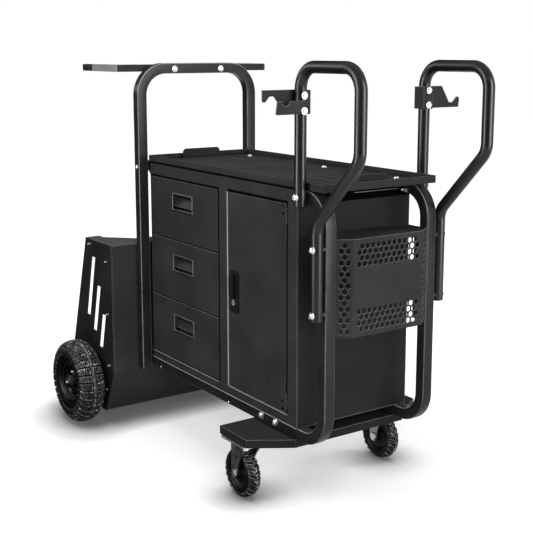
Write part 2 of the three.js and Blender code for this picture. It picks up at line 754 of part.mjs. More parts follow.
// Recessed finger pull: the floor ramps from the lower edge up to a short back wall.
function drawerPull(number) {
  const top = pullTop(number);
  const low = top - PULL_HEIGHT;
  const face = -cabinetY;
  const back = face + PULL_DEPTH;
  const half = PULL_WIDTH / 2;
  const wedge = (inset) => new THREE.Shape([
    [face - SHEET, low + inset], [face + inset, low + inset], [back - inset, top - PULL_BACK + inset],
    [back - inset, top - inset], [face - SHEET, top - inset],
  ].map(([y, z]) => new THREE.Vector2(y, z)));
  const cup = common(
    prism('yz', wedge(0), pullCentre - half, pullCentre + half),
    block(0, DRAWER_FRONT_WIDTH, face, back, low, top),
  );
  const seat = face - SEAT_GAP;
  const rim = block(
    pullCentre - half - PULL_RIM, pullCentre + half + PULL_RIM, seat - PULL_RIM_PROUD, seat,
    low - PULL_RIM, top + PULL_RIM,
  );
  const neck = block(pullCentre - half, pullCentre + half, seat - PULL_RIM_PROUD, face + SHEET, low, top);
  const hollow = prism('yz', wedge(SHEET), pullCentre - half + SHEET, pullCentre + half - SHEET);
  return cut(join(cup, rim, neck), hollow);
}

// Cupboard door: shallow folded pan on two butt hinges at its front edge
const doorLeft = doorOpeningStart + DOOR_LINE;
const doorRight = doorOpeningEnd - HINGE_LINE;
const doorBase = bayBase + DOOR_LINE;
const doorTop = bayTop - HEAD_LINE;
const hingeX = (doorRight + doorOpeningEnd) / 2;
const hingeY = -cabinetY - HINGE_PROUD;
const lockX = doorLeft + LOCK_INSET + LOCK_WIDTH / 2;
const lockCentre = bayTop - LOCK_CENTRE_DROP;
const lockTop = lockCentre + LOCK_HEIGHT / 2;
const spindleZ = lockTop - SPINDLE_DROP;
const cylinderZ = lockTop - LOCK_HEIGHT + CYLINDER_RISE;

function door() {
  const pan = cut(
    block(doorLeft, doorRight, -cabinetY, -cabinetY + DOOR_DEPTH, doorBase, doorTop),
    block(doorLeft + SHEET, doorRight - SHEET, -cabinetY + SHEET, -cabinetY + 2 * DOOR_DEPTH,
      doorBase + SHEET, doorTop - SHEET),
  );
  const hole = (radius, z) => disc(radius + RUNNING_FIT, -SHEET, 2 * SHEET).translate(lockX, -cabinetY, z);
  return cut(pan, hole(SPINDLE_RADIUS, spindleZ), hole(CYLINDER_RADIUS, cylinderZ));
}

// Each hinge is a fixed leaf with the pin and a moving leaf with the sleeve below it.
const hingeTops = { upper: doorTop - HINGE_INSET, lower: doorBase + HINGE_INSET + HINGE_LENGTH };

function hingeRound(radius, z0, z1) {
  return upright(disc(radius, z0, z1, SMALL_FACETS)).translate(hingeX, hingeY, 0);
}

function hingeLeaf(direction, z0, z1) {
  const t = HINGE_LEAF_THICKNESS;
  const inside = -cabinetY + SHEET + SEAT_GAP;
  const x0 = hingeX - t / 2;
  const x1 = hingeX + t / 2;
  const tail = hingeX + HINGE_LEAF;
  const doorBack = -cabinetY + DOOR_DEPTH;
  const bent = [[x1, inside], [tail, inside], [tail, inside + t], [x0, inside + t]];
  const straight = [[x1, doorBack], [x0, doorBack]];
  const plan = [[x0, hingeY], [x1, hingeY], ...(direction > 0 ? bent : straight)];
  return prism('xy', outline(plan), z0, z1);
}

function hingeFixed(top) {
  const middle = top - HINGE_LENGTH / 2;
  const pin = hingeRound(HINGE_PIN_RADIUS, top - HINGE_LENGTH, middle + SHEET);
  const barrel = hingeRound(HINGE_BARREL_RADIUS, middle + SEAT_GAP, top);
  return join(barrel, hingeLeaf(1, middle + SEAT_GAP, top), pin);
}

function hingeMoving(top) {
  const middle = top - HINGE_LENGTH / 2;
  const base = top - HINGE_LENGTH;
  const bore = hingeRound(HINGE_PIN_RADIUS + RUNNING_FIT / 2, base - SHEET, middle + SHEET);
  const barrel = hingeRound(HINGE_BARREL_RADIUS, base, middle);
  return cut(join(barrel, hingeLeaf(-1, base, middle)), bore);
}

// Lock: base plate, turning lever with its cam behind the door, and the key cylinder
const lockFace = -cabinetY - SEAT_GAP;
const lockFront = lockFace - LOCK_PLATE_THICKNESS;
const camY = -cabinetY + DOOR_DEPTH + SHEET;

function lockPlate() {
  const plate = prism('xz', roundedRectangle(LOCK_WIDTH, LOCK_HEIGHT, LOCK_CORNER), lockFront, lockFace, 1);
  plate.translate(lockX, 0, lockCentre);
  const depth = 2 * LOCK_PLATE_THICKNESS;
  const hole = (radius, z) => disc(radius + RUNNING_FIT, -depth, depth).translate(lockX, lockFace, z);
  return cut(plate, hole(SPINDLE_RADIUS, spindleZ), hole(CYLINDER_RADIUS, cylinderZ));
}

function lockLever() {
  const top = spindleZ + LEVER_WIDTH / 2;
  const y1 = lockFront - SEAT_GAP;
  const face = roundedRectangle(LEVER_WIDTH, LEVER_LENGTH, LEVER_CORNER);
  const grip = prism('xz', face, y1 - LEVER_THICKNESS, y1, 3);
  grip.translate(lockX, 0, top - LEVER_LENGTH / 2);
  const spindle = disc(SPINDLE_RADIUS, y1 - LEVER_THICKNESS / 2, camY).translate(lockX, 0, spindleZ);
  return join(grip, spindle);
}

// The cam stands upright at rest, clear of the stile, and turns behind its folded return.
function lockCam() {
  const bar = prism('xz', rectangle(-CAM_WIDTH / 2, CAM_WIDTH / 2, -CAM_WIDTH / 2, CAM_LENGTH),
    camY + SEAT_GAP, camY + SEAT_GAP + PLATE);
  return bar.translate(lockX, 0, spindleZ);
}

function lockCylinder() {
  const front = lockFront - PLATE;
  const plug = disc(CYLINDER_RADIUS, front, -cabinetY + DOOR_DEPTH).translate(lockX, 0, cylinderZ);
  const slot = block(
    lockX - KEY_SLOT / 2, lockX + KEY_SLOT / 2, front - SHEET, front + SHEET,
    cylinderZ - KEY_SLOT_HEIGHT / 2, cylinderZ + KEY_SLOT_HEIGHT / 2,
  );
  return cut(plug, slot);
}

// Front guard: folded cover between the front uprights, perforated with hexagons
function hexagon() {
  const corner = HEX_WIDTH / Math.sqrt(3);
  const points = [];
  for (let i = 0; i < 6; i += 1) {
    const angle = Math.PI / 6 + i * Math.PI / 3;
    points.push([corner * Math.cos(angle), corner * Math.sin(angle)]);
  }
  return outline(points);
}

function hexRow(count, centre, z) {
  const row = [];
  for (let i = 0; i < count; i += 1) row.push([centre + (i - (count - 1) / 2) * HEX_PITCH, z]);
  return row;
}

function frontGuard() {
  const faceX = frameFront + GUARD_PROUD;
  const wingX = faceX - GUARD_WING_DEPTH;
  const faceY = GUARD_FACE_WIDTH / 2;
  const sideY = frameInnerY - SEAT_GAP;
  const top = GUARD_BASE + GUARD_HEIGHT;
  const fold = [
    [wingX - GUARD_FLANGE, -sideY], [wingX, -sideY], [faceX, -faceY],
    [faceX, faceY], [wingX, sideY], [wingX - GUARD_FLANGE, sideY],
  ];
  const cover = prism('xy', foldedStrip(fold, SHEET), GUARD_BASE, top, 1);
  const inset = SHEET / 2;
  const lidBack = faceX - GUARD_TOP_DEPTH;
  const lidHalf = [
    [faceY - inset, faceX - inset], [sideY - inset, wingX - inset], [sideY - inset, lidBack],
  ];
  const lidPlan = [...mirrorY(lidHalf), ...lidHalf].map(([a, b]) => [b, a]);
  const lid = prism('xy', outline(lidPlan), top - SHEET, top);
  const rowPitch = HEX_PITCH * Math.sqrt(3) / 2;
  const wide = Math.floor((GUARD_FACE_WIDTH - 2 * HEX_SIDE_MARGIN) / HEX_PITCH) + 1;
  const faceHoles = [];
  for (let row = 0; row < HEX_ROWS; row += 1) {
    const count = row % 2 === 0 ? wide - 1 : wide;
    faceHoles.push(...hexRow(count, 0, top - HEX_EDGE_MARGIN - row * rowPitch));
    faceHoles.push(...hexRow(count, 0, GUARD_BASE + HEX_EDGE_MARGIN + row * rowPitch));
  }
  const wingHoles = [];
  const wingStep = (GUARD_HEIGHT - 2 * WING_EDGE_MARGIN) / (WING_ROWS - 1);
  for (let row = 0; row < WING_ROWS; row += 1) {
    wingHoles.push(...hexRow(1 + row % 2, 0, top - WING_EDGE_MARGIN - row * wingStep));
  }
  const reach = 3 * SHEET;
  const drill = ([a, b]) => prism('yz', hexagon(), -reach, reach).translate(0, a, b);
  const facePunch = mergeGeometries(faceHoles.map(drill)).translate(faceX, 0, 0);
  const wingAngle = Math.atan2(GUARD_WING_DEPTH, sideY - faceY);
  const wingPunch = (side) => mergeGeometries(wingHoles.map(drill)).rotateZ(side * wingAngle)
    .translate((faceX + wingX) / 2, side * (faceY + sideY) / 2, 0);
  return cut(join(cover, lid), facePunch, wingPunch(1), wingPunch(-1));
}

// Caster platform: folded sheet, wider than the frame, with cut corners at the front, closed below at
// both ends where the casters are bolted on
function casterPlatform() {
  const pan = (inset) => {
    const y = PLATFORM_WIDTH / 2 - inset;
    const front = platformFront - inset;
    const back = platformFront - PLATFORM_LENGTH + inset;
    const cutX = front - PLATFORM_CHAMFER_X;
    const cutY = y - PLATFORM_CHAMFER_Y;
    return outline([[back, -y], [cutX, -y], [front, -cutY], [front, cutY], [cutX, y], [back, y]]);
  };
  const outer = prism('xy', pan(0), platformBase, platformTop);
  const room = prism('xy', pan(SHEET), platformBase + SHEET, platformTop - SHEET);
  const mouth = PLATFORM_WIDTH / 2 - CASTER_SEAT;
  const back = platformFront - PLATFORM_LENGTH + 2 * SHEET;
  const opening = block(
    back, platformFront - 2 * SHEET, -mouth, mouth, platformBase - SHEET, platformBase + 2 * SHEET,
  );
  return cut(outer, room, opening);
}

// Casters
const casterPlateTop = platformBase - SEAT_GAP;
const casterPlateBase = casterPlateTop - CASTER_PLATE_THICKNESS;
const raceBase = casterPlateBase - CASTER_RACE_HEIGHT;
const forkTop = raceBase - SEAT_GAP;
const forkHalf = CASTER_TYRE_WIDTH / 2 + FORK_SIDE_GAP;
const axleX = casterX - CASTER_TRAIL;

function casterPlate(side) {
  const face = roundedRectangle(CASTER_PLATE_X, CASTER_PLATE_Y, CASTER_PLATE_CORNER);
  const plate = prism('xy', face, casterPlateBase, casterPlateTop, 2);
  const raceTop = casterPlateBase + SHEET / 2;
  const race = upright(turned([
    [0, raceBase], [CASTER_RACE_RADIUS - CASTER_RACE_CHAMFER, raceBase],
    [CASTER_RACE_RADIUS, raceBase + CASTER_RACE_CHAMFER], [CASTER_RACE_RADIUS, raceTop], [0, raceTop],
  ], ROUND_FACETS));
  const kingpin = upright(disc(KINGPIN_RADIUS, forkTop - FORK_SHEET - SEAT_GAP, raceBase + SHEET));
  return join(plate, race, kingpin).translate(casterX, side * casterY, 0);
}

// Pressed fork: crown plate round the kingpin and two legs, upright behind and hollowed in front
function casterFork(side) {
  const crownBase = forkTop - FORK_SHEET;
  const outer = forkHalf + FORK_SHEET;
  const crown = upright(disc(CASTER_RACE_RADIUS, crownBase, forkTop)).translate(casterX, 0, 0);
  const eye = FORK_EYE_RADIUS;
  const leg = new THREE.Shape();
  leg.moveTo(casterX + outer, forkTop);
  const eyeX = axleX - FORK_EYE_OFFSET;
  const legFront = forkTop - 2 * FORK_SHEET;
  leg.lineTo(eyeX - eye, forkTop);
  leg.absarc(eyeX, CASTER_RADIUS, eye, Math.PI, 2 * Math.PI);
  leg.quadraticCurveTo(eyeX + eye, (CASTER_RADIUS + legFront) / 2, casterX + outer, legFront);
  const legs = [
    prism('xz', leg, forkHalf, outer, 4),
    prism('xz', leg, -outer, -forkHalf, 4),
  ];
  const bridge = block(casterX - CASTER_RACE_RADIUS, casterX + outer, -outer, outer, crownBase, forkTop);
  const pinHole = upright(disc(KINGPIN_RADIUS + RUNNING_FIT, crownBase - SHEET, forkTop + SHEET));
  pinHole.translate(casterX, 0, 0);
  const axleHole = disc(CASTER_AXLE_RADIUS + SEAT_GAP, -2 * outer, 2 * outer);
  axleHole.translate(axleX, 0, CASTER_RADIUS);
  return cut(join(crown, bridge, ...legs), pinHole, axleHole).translate(0, side * casterY, 0);
}

function casterTyre(side) {
  const half = CASTER_TYRE_WIDTH / 2;
  const bead = CASTER_RIM_RADIUS + SEAT_GAP;
  const outerHalf = [
    [CASTER_RADIUS, half * CASTER_CROWN], [CASTER_RADIUS - CASTER_CROWN_DROP, half * CASTER_SHOULDER],
    [CASTER_RADIUS - CASTER_WALL_DROP, half], [bead, half * CASTER_BEAD],
  ];
  return turned(bothSides(outerHalf), CASTER_FACETS).translate(axleX, side * casterY, CASTER_RADIUS);
}

function casterRim(side) {
  const half = CASTER_TYRE_WIDTH / 2;
  const bore = CASTER_AXLE_RADIUS + RUNNING_FIT;
  const hub = half + FORK_SIDE_GAP - SEAT_GAP;
  const outerHalf = [
    [CASTER_RIM_RADIUS, half * CASTER_RIM_SPAN],
    [CASTER_RIM_RADIUS - CASTER_RIM_LIP, half * CASTER_RIM_SPAN],
    [CASTER_RIM_RADIUS - 2 * CASTER_RIM_LIP, half * CASTER_WEB],
    [CASTER_HUB_RADIUS, half * CASTER_WEB], [CASTER_HUB_RADIUS, hub], [bore, hub],
  ];
  return turned(bothSides(outerHalf), CASTER_FACETS).translate(axleX, side * casterY, CASTER_RADIUS);
}

function casterAxle(side) {
  const outer = forkHalf + FORK_SHEET + SEAT_GAP;
  const head = outer + CASTER_NUT;
  const shank = disc(CASTER_AXLE_RADIUS, -head, head);
  const nut = (from, to) => disc(CASTER_NUT_RADIUS, from, to, NUT_FACETS);
  return join(shank, nut(-head, -outer), nut(outer, head)).translate(axleX, side * casterY, CASTER_RADIUS);
}

// Bottle rack: folded front wall, slotted side panels, floor and a notched cradle plate
const rackFloorFront = rackFront - RACK_FLOOR_SETBACK;
const rackTopRear = rackFront - RACK_TOP_DEPTH;
const rackInnerY = rackY - PLATE;

function rackSide(side) {
  const panel = outline([
    [rackFront, RACK_TOP], [rackTopRear, RACK_TOP], [rackRear, RACK_HEEL], [rackRear, RACK_FLOOR],
    [rackFloorFront, RACK_FLOOR], [rackFront, RACK_WALL_FOOT],
  ]);
  SLOT_LENGTHS.forEach((length, i) => {
    const z1 = RACK_TOP - SLOT_TOP_DROPS[i];
    const x1 = rackFront - SLOT_SETBACKS[i];
    const x0 = x1 - length * SLOT_LEAN;
    const half = SLOT_WIDTH / 2;
    const slot = [[x0 - half, z1 - length], [x1 - half, z1], [x1 + half, z1], [x0 + half, z1 - length]];
    panel.holes.push(new THREE.Path(slot.map(([a, b]) => new THREE.Vector2(a, b))));
  });
  const stubHole = disc(STUB_RADIUS + SEAT_GAP, -RACK_WIDTH, RACK_WIDTH).translate(wheelX, 0, WHEEL_RADIUS);
  const y = side * (rackY - PLATE / 2);
  return cut(prism('xz', panel, y - PLATE / 2, y + PLATE / 2), stubHole);
}

function rackFrontWall() {
  const y = rackInnerY - SEAT_GAP;
  const fold = [
    [rackFront - RACK_FLANGE, -y], [rackFront, -y], [rackFront, y], [rackFront - RACK_FLANGE, y],
  ];
  const wall = prism('xy', foldedStrip(fold, SHEET), RACK_WALL_FOOT, RACK_TOP - PLATE - SEAT_GAP, 1);
  const slope = foldedStrip([
    [rackFloorFront, RACK_FLOOR + PLATE + SEAT_GAP], [rackFront, RACK_WALL_FOOT],
    [rackFront, RACK_WALL_FOOT + SHEET],
  ], SHEET);
  return join(wall, prism('xz', slope, -y, y, 1));
}

function rackFloor() {
  const y = rackInnerY - SEAT_GAP;
  const fold = [
    [-y, RACK_FLOOR + RACK_FLOOR_LIP], [-y, RACK_FLOOR], [y, RACK_FLOOR], [y, RACK_FLOOR + RACK_FLOOR_LIP],
  ];
  return prism('yz', foldedStrip(fold, PLATE), rackRear, rackFloorFront - SHEET, 1);
}

// Cradle plate with one tapered notch for each bottle, open to the rear
function rackCradle() {
  const y = rackInnerY - SEAT_GAP;
  const mouth = y - CRADLE_ARM;
  const cutRear = rackTopRear + CRADLE_CUT_START;
  const cutFront = cutRear + CRADLE_CUT_DEPTH;
  const half = [
    [y, rackTopRear], [mouth, rackTopRear], [mouth, cutRear], [mouth - CRADLE_CUT_DEPTH, cutFront],
    [CRADLE_ARM / 2 + CRADLE_CUT_DEPTH, cutFront], [CRADLE_ARM / 2, cutRear], [CRADLE_ARM / 2, rackTopRear],
  ];
  const rear = [...half, ...mirrorY(half)].map(([a, b]) => [b, a]);
  const plan = [[rackFront, y], ...rear, [rackFront, -y]];
  return prism('xy', outline(plan), RACK_TOP - PLATE, RACK_TOP);
}

// Rear wheels: each on a stub axle bolted to the rack side
function stubAxle(side) {
  const seat = rackY + SEAT_GAP;
  const hubInner = wheelY - HUB_WIDTH / 2 - SEAT_GAP;
  const hubOuter = wheelY + HUB_WIDTH / 2 + SEAT_GAP;
  const end = wheelY + WHEEL_WIDTH / 2;
  const inner = rackY - 2 * PLATE;
  const profile = [
    [0, inner], [STUB_RADIUS, inner], [STUB_RADIUS, seat], [STUB_FLANGE_RADIUS, seat],
    [STUB_FLANGE_RADIUS, seat + STUB_FLANGE], [STUB_SPACER_RADIUS, seat + STUB_FLANGE],
    [STUB_SPACER_RADIUS, hubInner], [STUB_RADIUS, hubInner],
    [STUB_RADIUS, hubOuter], [STUB_NUT_RADIUS, hubOuter], [STUB_NUT_RADIUS, end], [0, end],
  ];
  const axle = turned(profile, ROUND_FACETS);
  if (side < 0) axle.rotateX(Math.PI);
  return axle.translate(wheelX, 0, WHEEL_RADIUS);
}

// Pneumatic tyre with a crowned tread of raised ribs
function wheelTyre(side) {
  const half = WHEEL_WIDTH / 2;
  const bead = WHEEL_RIM_RADIUS + SEAT_GAP;
  const crown = (share) => WHEEL_RADIUS - TREAD_CROWN * share ** 2;
  const [ribStart, ribEnd] = TREAD_RIB;
  const outerHalf = [
    [crown(ribStart) - TREAD_GROOVE, ribStart * half], [crown(ribStart), ribStart * half],
    [crown(ribEnd), ribEnd * half], [crown(ribEnd) - TREAD_GROOVE, ribEnd * half],
    [WHEEL_RADIUS - TREAD_SHOULDER_DROP, TREAD_SHOULDER * half],
    [bead + TYRE_BELLY, half], [bead + TYRE_FOOT, TYRE_FOOT_SHARE * half], [bead, RIM_WIDTH / 2],
  ];
  return turned(bothSides(outerHalf), TYRE_FACETS).translate(wheelX, side * wheelY, WHEEL_RADIUS);
}

// Pressed steel rim: two flanges, a dished disc and the hub sleeve
function wheelRim(side) {
  const bore = STUB_RADIUS + RUNNING_FIT;
  const edge = WHEEL_RIM_RADIUS;
  const half = RIM_WIDTH / 2;
  const hub = HUB_WIDTH / 2;
  const outerHalf = [
    [edge, half], [edge - RIM_LIP, half + RIM_LIP_PROUD], [edge - RIM_DISH, RIM_WEB],
    [HUB_RADIUS, RIM_WEB], [HUB_RADIUS, hub], [bore, hub],
  ];
  return turned(bothSides(outerHalf), TYRE_FACETS).translate(wheelX, side * wheelY, WHEEL_RADIUS);
}

// Assembly
const SIDES = { left: -1, right: 1 };

for (const [name, side] of Object.entries(SIDES)) {
  addPart(`side_frame_${name}`, sideFrame(side), POWDER_BLACK);
  addPart(`handle_${name}`, handle(side), POWDER_BLACK);
  addPart(`push_grip_${name}`, pushGrip(side), GRIP_GREY);
  addPart(`push_grip_cap_${name}`, pushGripCap(side), PLASTIC_BLACK);
  addPart(`rack_side_${name}`, rackSide(side), POWDER_BLACK);
  addPart(`stub_axle_${name}`, stubAxle(side), ZINC);
  addPart(`wheel_tyre_${name}`, wheelTyre(side), RUBBER);
  addPart(`wheel_rim_${name}`, wheelRim(side), POWDER_BLACK);
  addPart(`caster_plate_${name}`, casterPlate(side), ZINC);
  addPart(`caster_fork_${name}`, casterFork(side), ZINC);
  addPart(`caster_tyre_${name}`, casterTyre(side), RUBBER);
  addPart(`caster_rim_${name}`, casterRim(side), PLASTIC_BLACK);
  addPart(`caster_axle_${name}`, casterAxle(side), ZINC);
}
addPart('rear_hoop', rearHoop(), POWDER_BLACK);
addPart('push_bar', pushBar(), POWDER_BLACK);
addPart('hook_left', hookLeft(), POWDER_BLACK);
addPart('hook_right', hookRight(), POWDER_BLACK);
addPart('top_tray', topTray(), POWDER_BLACK);
addPart('cabinet_shell', cabinetShell(), POWDER_BLACK);
addPart('cabinet_end_panel', endPanel(), POWDER_BLACK);
addPart('cabinet_divider', divider(), POWDER_BLACK);
addPart('runner_panel_rear', runnerPanel(SHEET + SEAT_GAP, 1), ZINC);
addPart('runner_panel_front', runnerPanel(dividerX - SEAT_GAP, -1), ZINC);
for (let number = 1; number <= DRAWER_COUNT; number += 1) {
  addPart(`drawer_${number}_front`, drawerFront(number), POWDER_BLACK);
  addPart(`drawer_${number}_tub`, drawerTub(number), POWDER_BLACK);
  addPart(`drawer_${number}_pull`, drawerPull(number), PLASTIC_BLACK);
}
addPart('door', door(), POWDER_BLACK);
for (const [name, top] of Object.entries(hingeTops)) {
  addPart(`door_hinge_${name}`, hingeFixed(top), POWDER_BLACK);
  addPart(`door_hinge_leaf_${name}`, hingeMoving(top), POWDER_BLACK);
}
addPart('lock_plate', lockPlate(), PLASTIC_BLACK);
addPart('lock_lever', lockLever(), PLASTIC_BLACK);
addPart('lock_cam', lockCam(), ZINC);
addPart('lock_cylinder', lockCylinder(), ZINC);
addPart('front_guard', frontGuard(), POWDER_BLACK);
addPart('caster_platform', casterPlatform(), POWDER_BLACK);
addPart('rack_front_wall', rackFrontWall(), POWDER_BLACK);
addPart('rack_floor', rackFloor(), POWDER_BLACK);
addPart('rack_cradle', rackCradle(), POWDER_BLACK);

export default cart;
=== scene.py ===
"""Welding cart: smooth tubes, treaded wheels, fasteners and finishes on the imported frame.

Everything is in metres in the frame's own axes: +X towards the caster end, -Y towards the drawers, +Z up.
"""
import json
import math

import bmesh
import bpy
import numpy as np
from bpy.props import FloatProperty, FloatVectorProperty, IntProperty, PointerProperty
from mathutils import Matrix, Vector


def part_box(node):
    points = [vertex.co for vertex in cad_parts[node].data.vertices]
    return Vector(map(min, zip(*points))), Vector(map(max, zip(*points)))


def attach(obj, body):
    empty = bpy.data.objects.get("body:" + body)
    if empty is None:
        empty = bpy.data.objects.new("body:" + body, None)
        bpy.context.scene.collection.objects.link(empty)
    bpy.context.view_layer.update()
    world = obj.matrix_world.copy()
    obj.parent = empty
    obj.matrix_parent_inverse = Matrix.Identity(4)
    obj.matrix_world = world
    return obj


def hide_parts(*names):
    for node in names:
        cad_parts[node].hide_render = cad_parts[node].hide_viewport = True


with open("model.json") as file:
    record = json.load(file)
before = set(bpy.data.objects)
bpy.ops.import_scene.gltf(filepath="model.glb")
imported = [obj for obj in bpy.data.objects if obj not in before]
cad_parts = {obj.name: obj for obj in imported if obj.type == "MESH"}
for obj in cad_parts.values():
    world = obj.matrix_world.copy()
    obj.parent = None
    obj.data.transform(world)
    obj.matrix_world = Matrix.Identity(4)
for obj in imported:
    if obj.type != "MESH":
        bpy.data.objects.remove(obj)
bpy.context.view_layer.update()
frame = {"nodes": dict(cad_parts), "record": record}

bl_info = {
    "name": "Welding cart",
    "version": (1, 0, 0),
    "blender": (4, 5, 0),
    "location": "View3D > Sidebar > Cart",
    "description": "Dresses a welding cart with tubes, wheels, fasteners, finishes and a studio",
    "category": "Object",
}

MM = 0.001
SIDES = {"left": -1.0, "right": 1.0}
NODES = frame["nodes"]
AXIS_X, AXIS_Y, AXIS_Z = np.eye(3)


def low(node):
    """Lowest corner of a CAD node, as an array."""
    return np.array(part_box(node)[0])


def high(node):
    """Highest corner of a CAD node, as an array."""
    return np.array(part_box(node)[1])


def middle(node):
    """Centre of a CAD node's box, as an array."""
    return (low(node) + high(node)) / 2


# Sizes and colours that a user would change

def length_property(name, value_mm, description):
    """A length setting whose default is given in millimetres."""
    return FloatProperty(name=name, description=description, default=value_mm * MM, min=0.0, unit="LENGTH", precision=5)


def colour_property(name, value, description):
    """A colour setting for a finish."""
    return FloatVectorProperty(name=name, description=description, default=value, size=3, min=0.0, max=1.0,
                               subtype="COLOR")


class CartTubes(bpy.types.PropertyGroup):
    """Sizes of the bent tubes."""
    frame_bend: length_property("Frame bend", 72, "Centre-line radius of the side frames' corners")
    hoop_bend: length_property("Hoop bend", 80, "Centre-line radius of the rear hoop's corners")
    handle_bend: length_property("Handle bend", 53, "Centre-line radius of the cable handles' corners")
    corner: length_property("Tube corner", 2.4, "Outer corner radius of the square tubes")
    hoop_depth: length_property("Hoop depth", 30, "Depth of the rear hoop's tube, from its front face")
    handle_radius: length_property("Handle radius", 14.5, "Radius of the cable handles' round tube")
    bend_steps: IntProperty(name="Bend steps", description="Sections in each bend", default=16, min=4, max=64)


class CartWheels(bpy.types.PropertyGroup):
    """Sizes of the treaded wheels."""
    blocks: IntProperty(name="Tread blocks", description="Blocks round a rear tyre", default=32, min=8, max=60)
    block_height: length_property("Block height", 4.5, "How far a tread block stands out")
    lugs: IntProperty(name="Caster lugs", description="Lugs round a caster tyre, on each side", default=22, min=8,
                      max=40)
    lug_height: length_property("Lug height", 4, "How far a caster lug stands out")
    bolt_circle: length_property("Rim bolt circle", 33, "Radius of the circle of the rim's bolts")


class CartFinishes(bpy.types.PropertyGroup):
    """Colours of the finishes."""
    powder: colour_property("Powder coat", (0.029, 0.029, 0.0295), "Black powder coat on tubes and sheet")
    powder_rough: FloatProperty(name="Powder roughness", description="Roughness of the powder coat", default=0.5,
                                min=0.0, max=1.0, subtype="FACTOR")
    # Light grey for edges lightened by wear and painted highlight, and for dust with painted top light.
    worn_and_highlight: colour_property("Worn edge", (0.42, 0.42, 0.425), "Powder coat where an edge is rubbed")
    zinc: colour_property("Zinc", (0.55, 0.56, 0.58), "Zinc plated steel")
    rubber: colour_property("Rubber", (0.003, 0.003, 0.003), "Tyre rubber")
    # Light grey for the painted glints and sheen, with some rubbing, on the tread's tops and rims.
    rubbed_and_highlight: colour_property("Rubbed rubber", (0.35, 0.35, 0.35), "Rubber polished on the tread's tops and rims")
    plastic: colour_property("Plastic", (0.004, 0.004, 0.0042), "Moulded black plastic")
    grip: colour_property("Grip", (0.16, 0.16, 0.165), "Grey coated grip arms")


class CartStage(bpy.types.PropertyGroup):
    """Light and floor of the studio."""
    key_power: FloatProperty(name="Key", description="Power of the softbox on the drawer side", default=46.0, min=0.0)
    fill_power: FloatProperty(name="Fill", description="Power of the softbox on the caster end", default=47.0, min=0.0)
    top_power: FloatProperty(name="Top", description="Power of the overhead softbox", default=22.0, min=0.0)
    back_power: FloatProperty(name="Back", description="Power of the softbox behind the cart", default=42.0, min=0.0)
    card_power: FloatProperty(name="Cards", description="Power of the cards that only show in reflections",
                              default=190.0, min=0.0)
    world_level: FloatProperty(name="World", description="Even light from all round", default=0.28, min=0.0)
    floor: colour_property("Floor", (0.86, 0.86, 0.86), "Floor colour")


class CartSettings(bpy.types.PropertyGroup):
    """All settings of the cart."""
    tubes: PointerProperty(type=CartTubes)
    wheels: PointerProperty(type=CartWheels)
    finishes: PointerProperty(type=CartFinishes)
    stage: PointerProperty(type=CartStage)


# Meshes from arrays

def quads(rows, cols, close_rows=False, close_cols=True):
    """Corners of the four-sided faces of a rows by cols grid; a closed way joins its last line to its first."""
    r = np.arange(rows if close_rows else rows - 1)
    c = np.arange(cols if close_cols else cols - 1)
    r, c = (a.ravel() for a in np.meshgrid(r, c, indexing="ij"))
    r2, c2 = (r + 1) % rows, (c + 1) % cols
    return np.stack([r * cols + c, r * cols + c2, r2 * cols + c2, r2 * cols + c], -1)


def joined(*parts):
    """Several (points, faces) pairs as one pair, with the corner numbers moved on."""
    points, faces, start = [], [], 0
    for part_points, part_faces in parts:
        points.append(part_points)
        faces.extend([[corner + start for corner in face] for face in part_faces])
        start += len(part_points)
    return np.concatenate(points), faces


def add_piece(name, shape, material, body, replaced=(), sharp_deg=35.0, wear_and_highlight=None):
    """Puts points and faces into a mesh with outward faces, and lets it ride on a body.

    The wear and painted highlight, one number for each point, is kept as a mesh attribute for the finish to read.
    """
    points, faces = shape
    mesh = bpy.data.meshes.new(name)
    mesh.from_pydata(np.asarray(points).tolist(), [], faces)
    if wear_and_highlight is not None:
        mesh.attributes.new("wear_and_highlight", "FLOAT", "POINT").data.foreach_set("value", np.asarray(wear_and_highlight, np.float32).ravel())
    work = bmesh.new()
    work.from_mesh(mesh)
    bmesh.ops.remove_doubles(work, verts=work.verts, dist=1e-7)
    bmesh.ops.recalc_face_normals(work, faces=work.faces)
    work.to_mesh(mesh)
    work.free()
    mesh.polygons.foreach_set("use_smooth", np.ones(len(mesh.polygons), bool))
    mesh.set_sharp_from_angle(angle=math.radians(sharp_deg))
    mesh.materials.append(material)
    piece = bpy.data.objects.new(name, mesh)
    bpy.context.scene.collection.objects.link(piece)
    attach(piece, body)
    if replaced:
        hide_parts(*replaced)
    return piece


def bent_path(corners, bend, steps):
    """Centre line of a bent tube: straight runs joined by arcs of radius bend.

    At a corner of turn a the arc starts bend * tan(a / 2) before it and turns about the corner's normal.
    Returns the points and the unit tangents.
    """
    at = np.asarray(corners, float)
    heading = np.diff(at, axis=0)
    heading /= np.linalg.norm(heading, axis=1)[:, None]
    points, tangents = [at[:1]], [heading[:1]]
    for corner, before, after in zip(at[1:-1], heading[:-1], heading[1:]):
        turn = math.acos(float(np.clip(before @ after, -1, 1)))
        inward = after - before * (before @ after)
        inward /= np.linalg.norm(inward)
        start = corner - before * bend * math.tan(turn / 2)
        angle = np.linspace(0, turn, steps + 1)[:, None]
        points.append(start + bend * (np.sin(angle) * before + (1 - np.cos(angle)) * inward))
        tangents.append(np.cos(angle) * before + np.sin(angle) * inward)
    points.append(at[-1:])
    tangents.append(heading[-1:])
    return np.concatenate(points), np.concatenate(tangents)


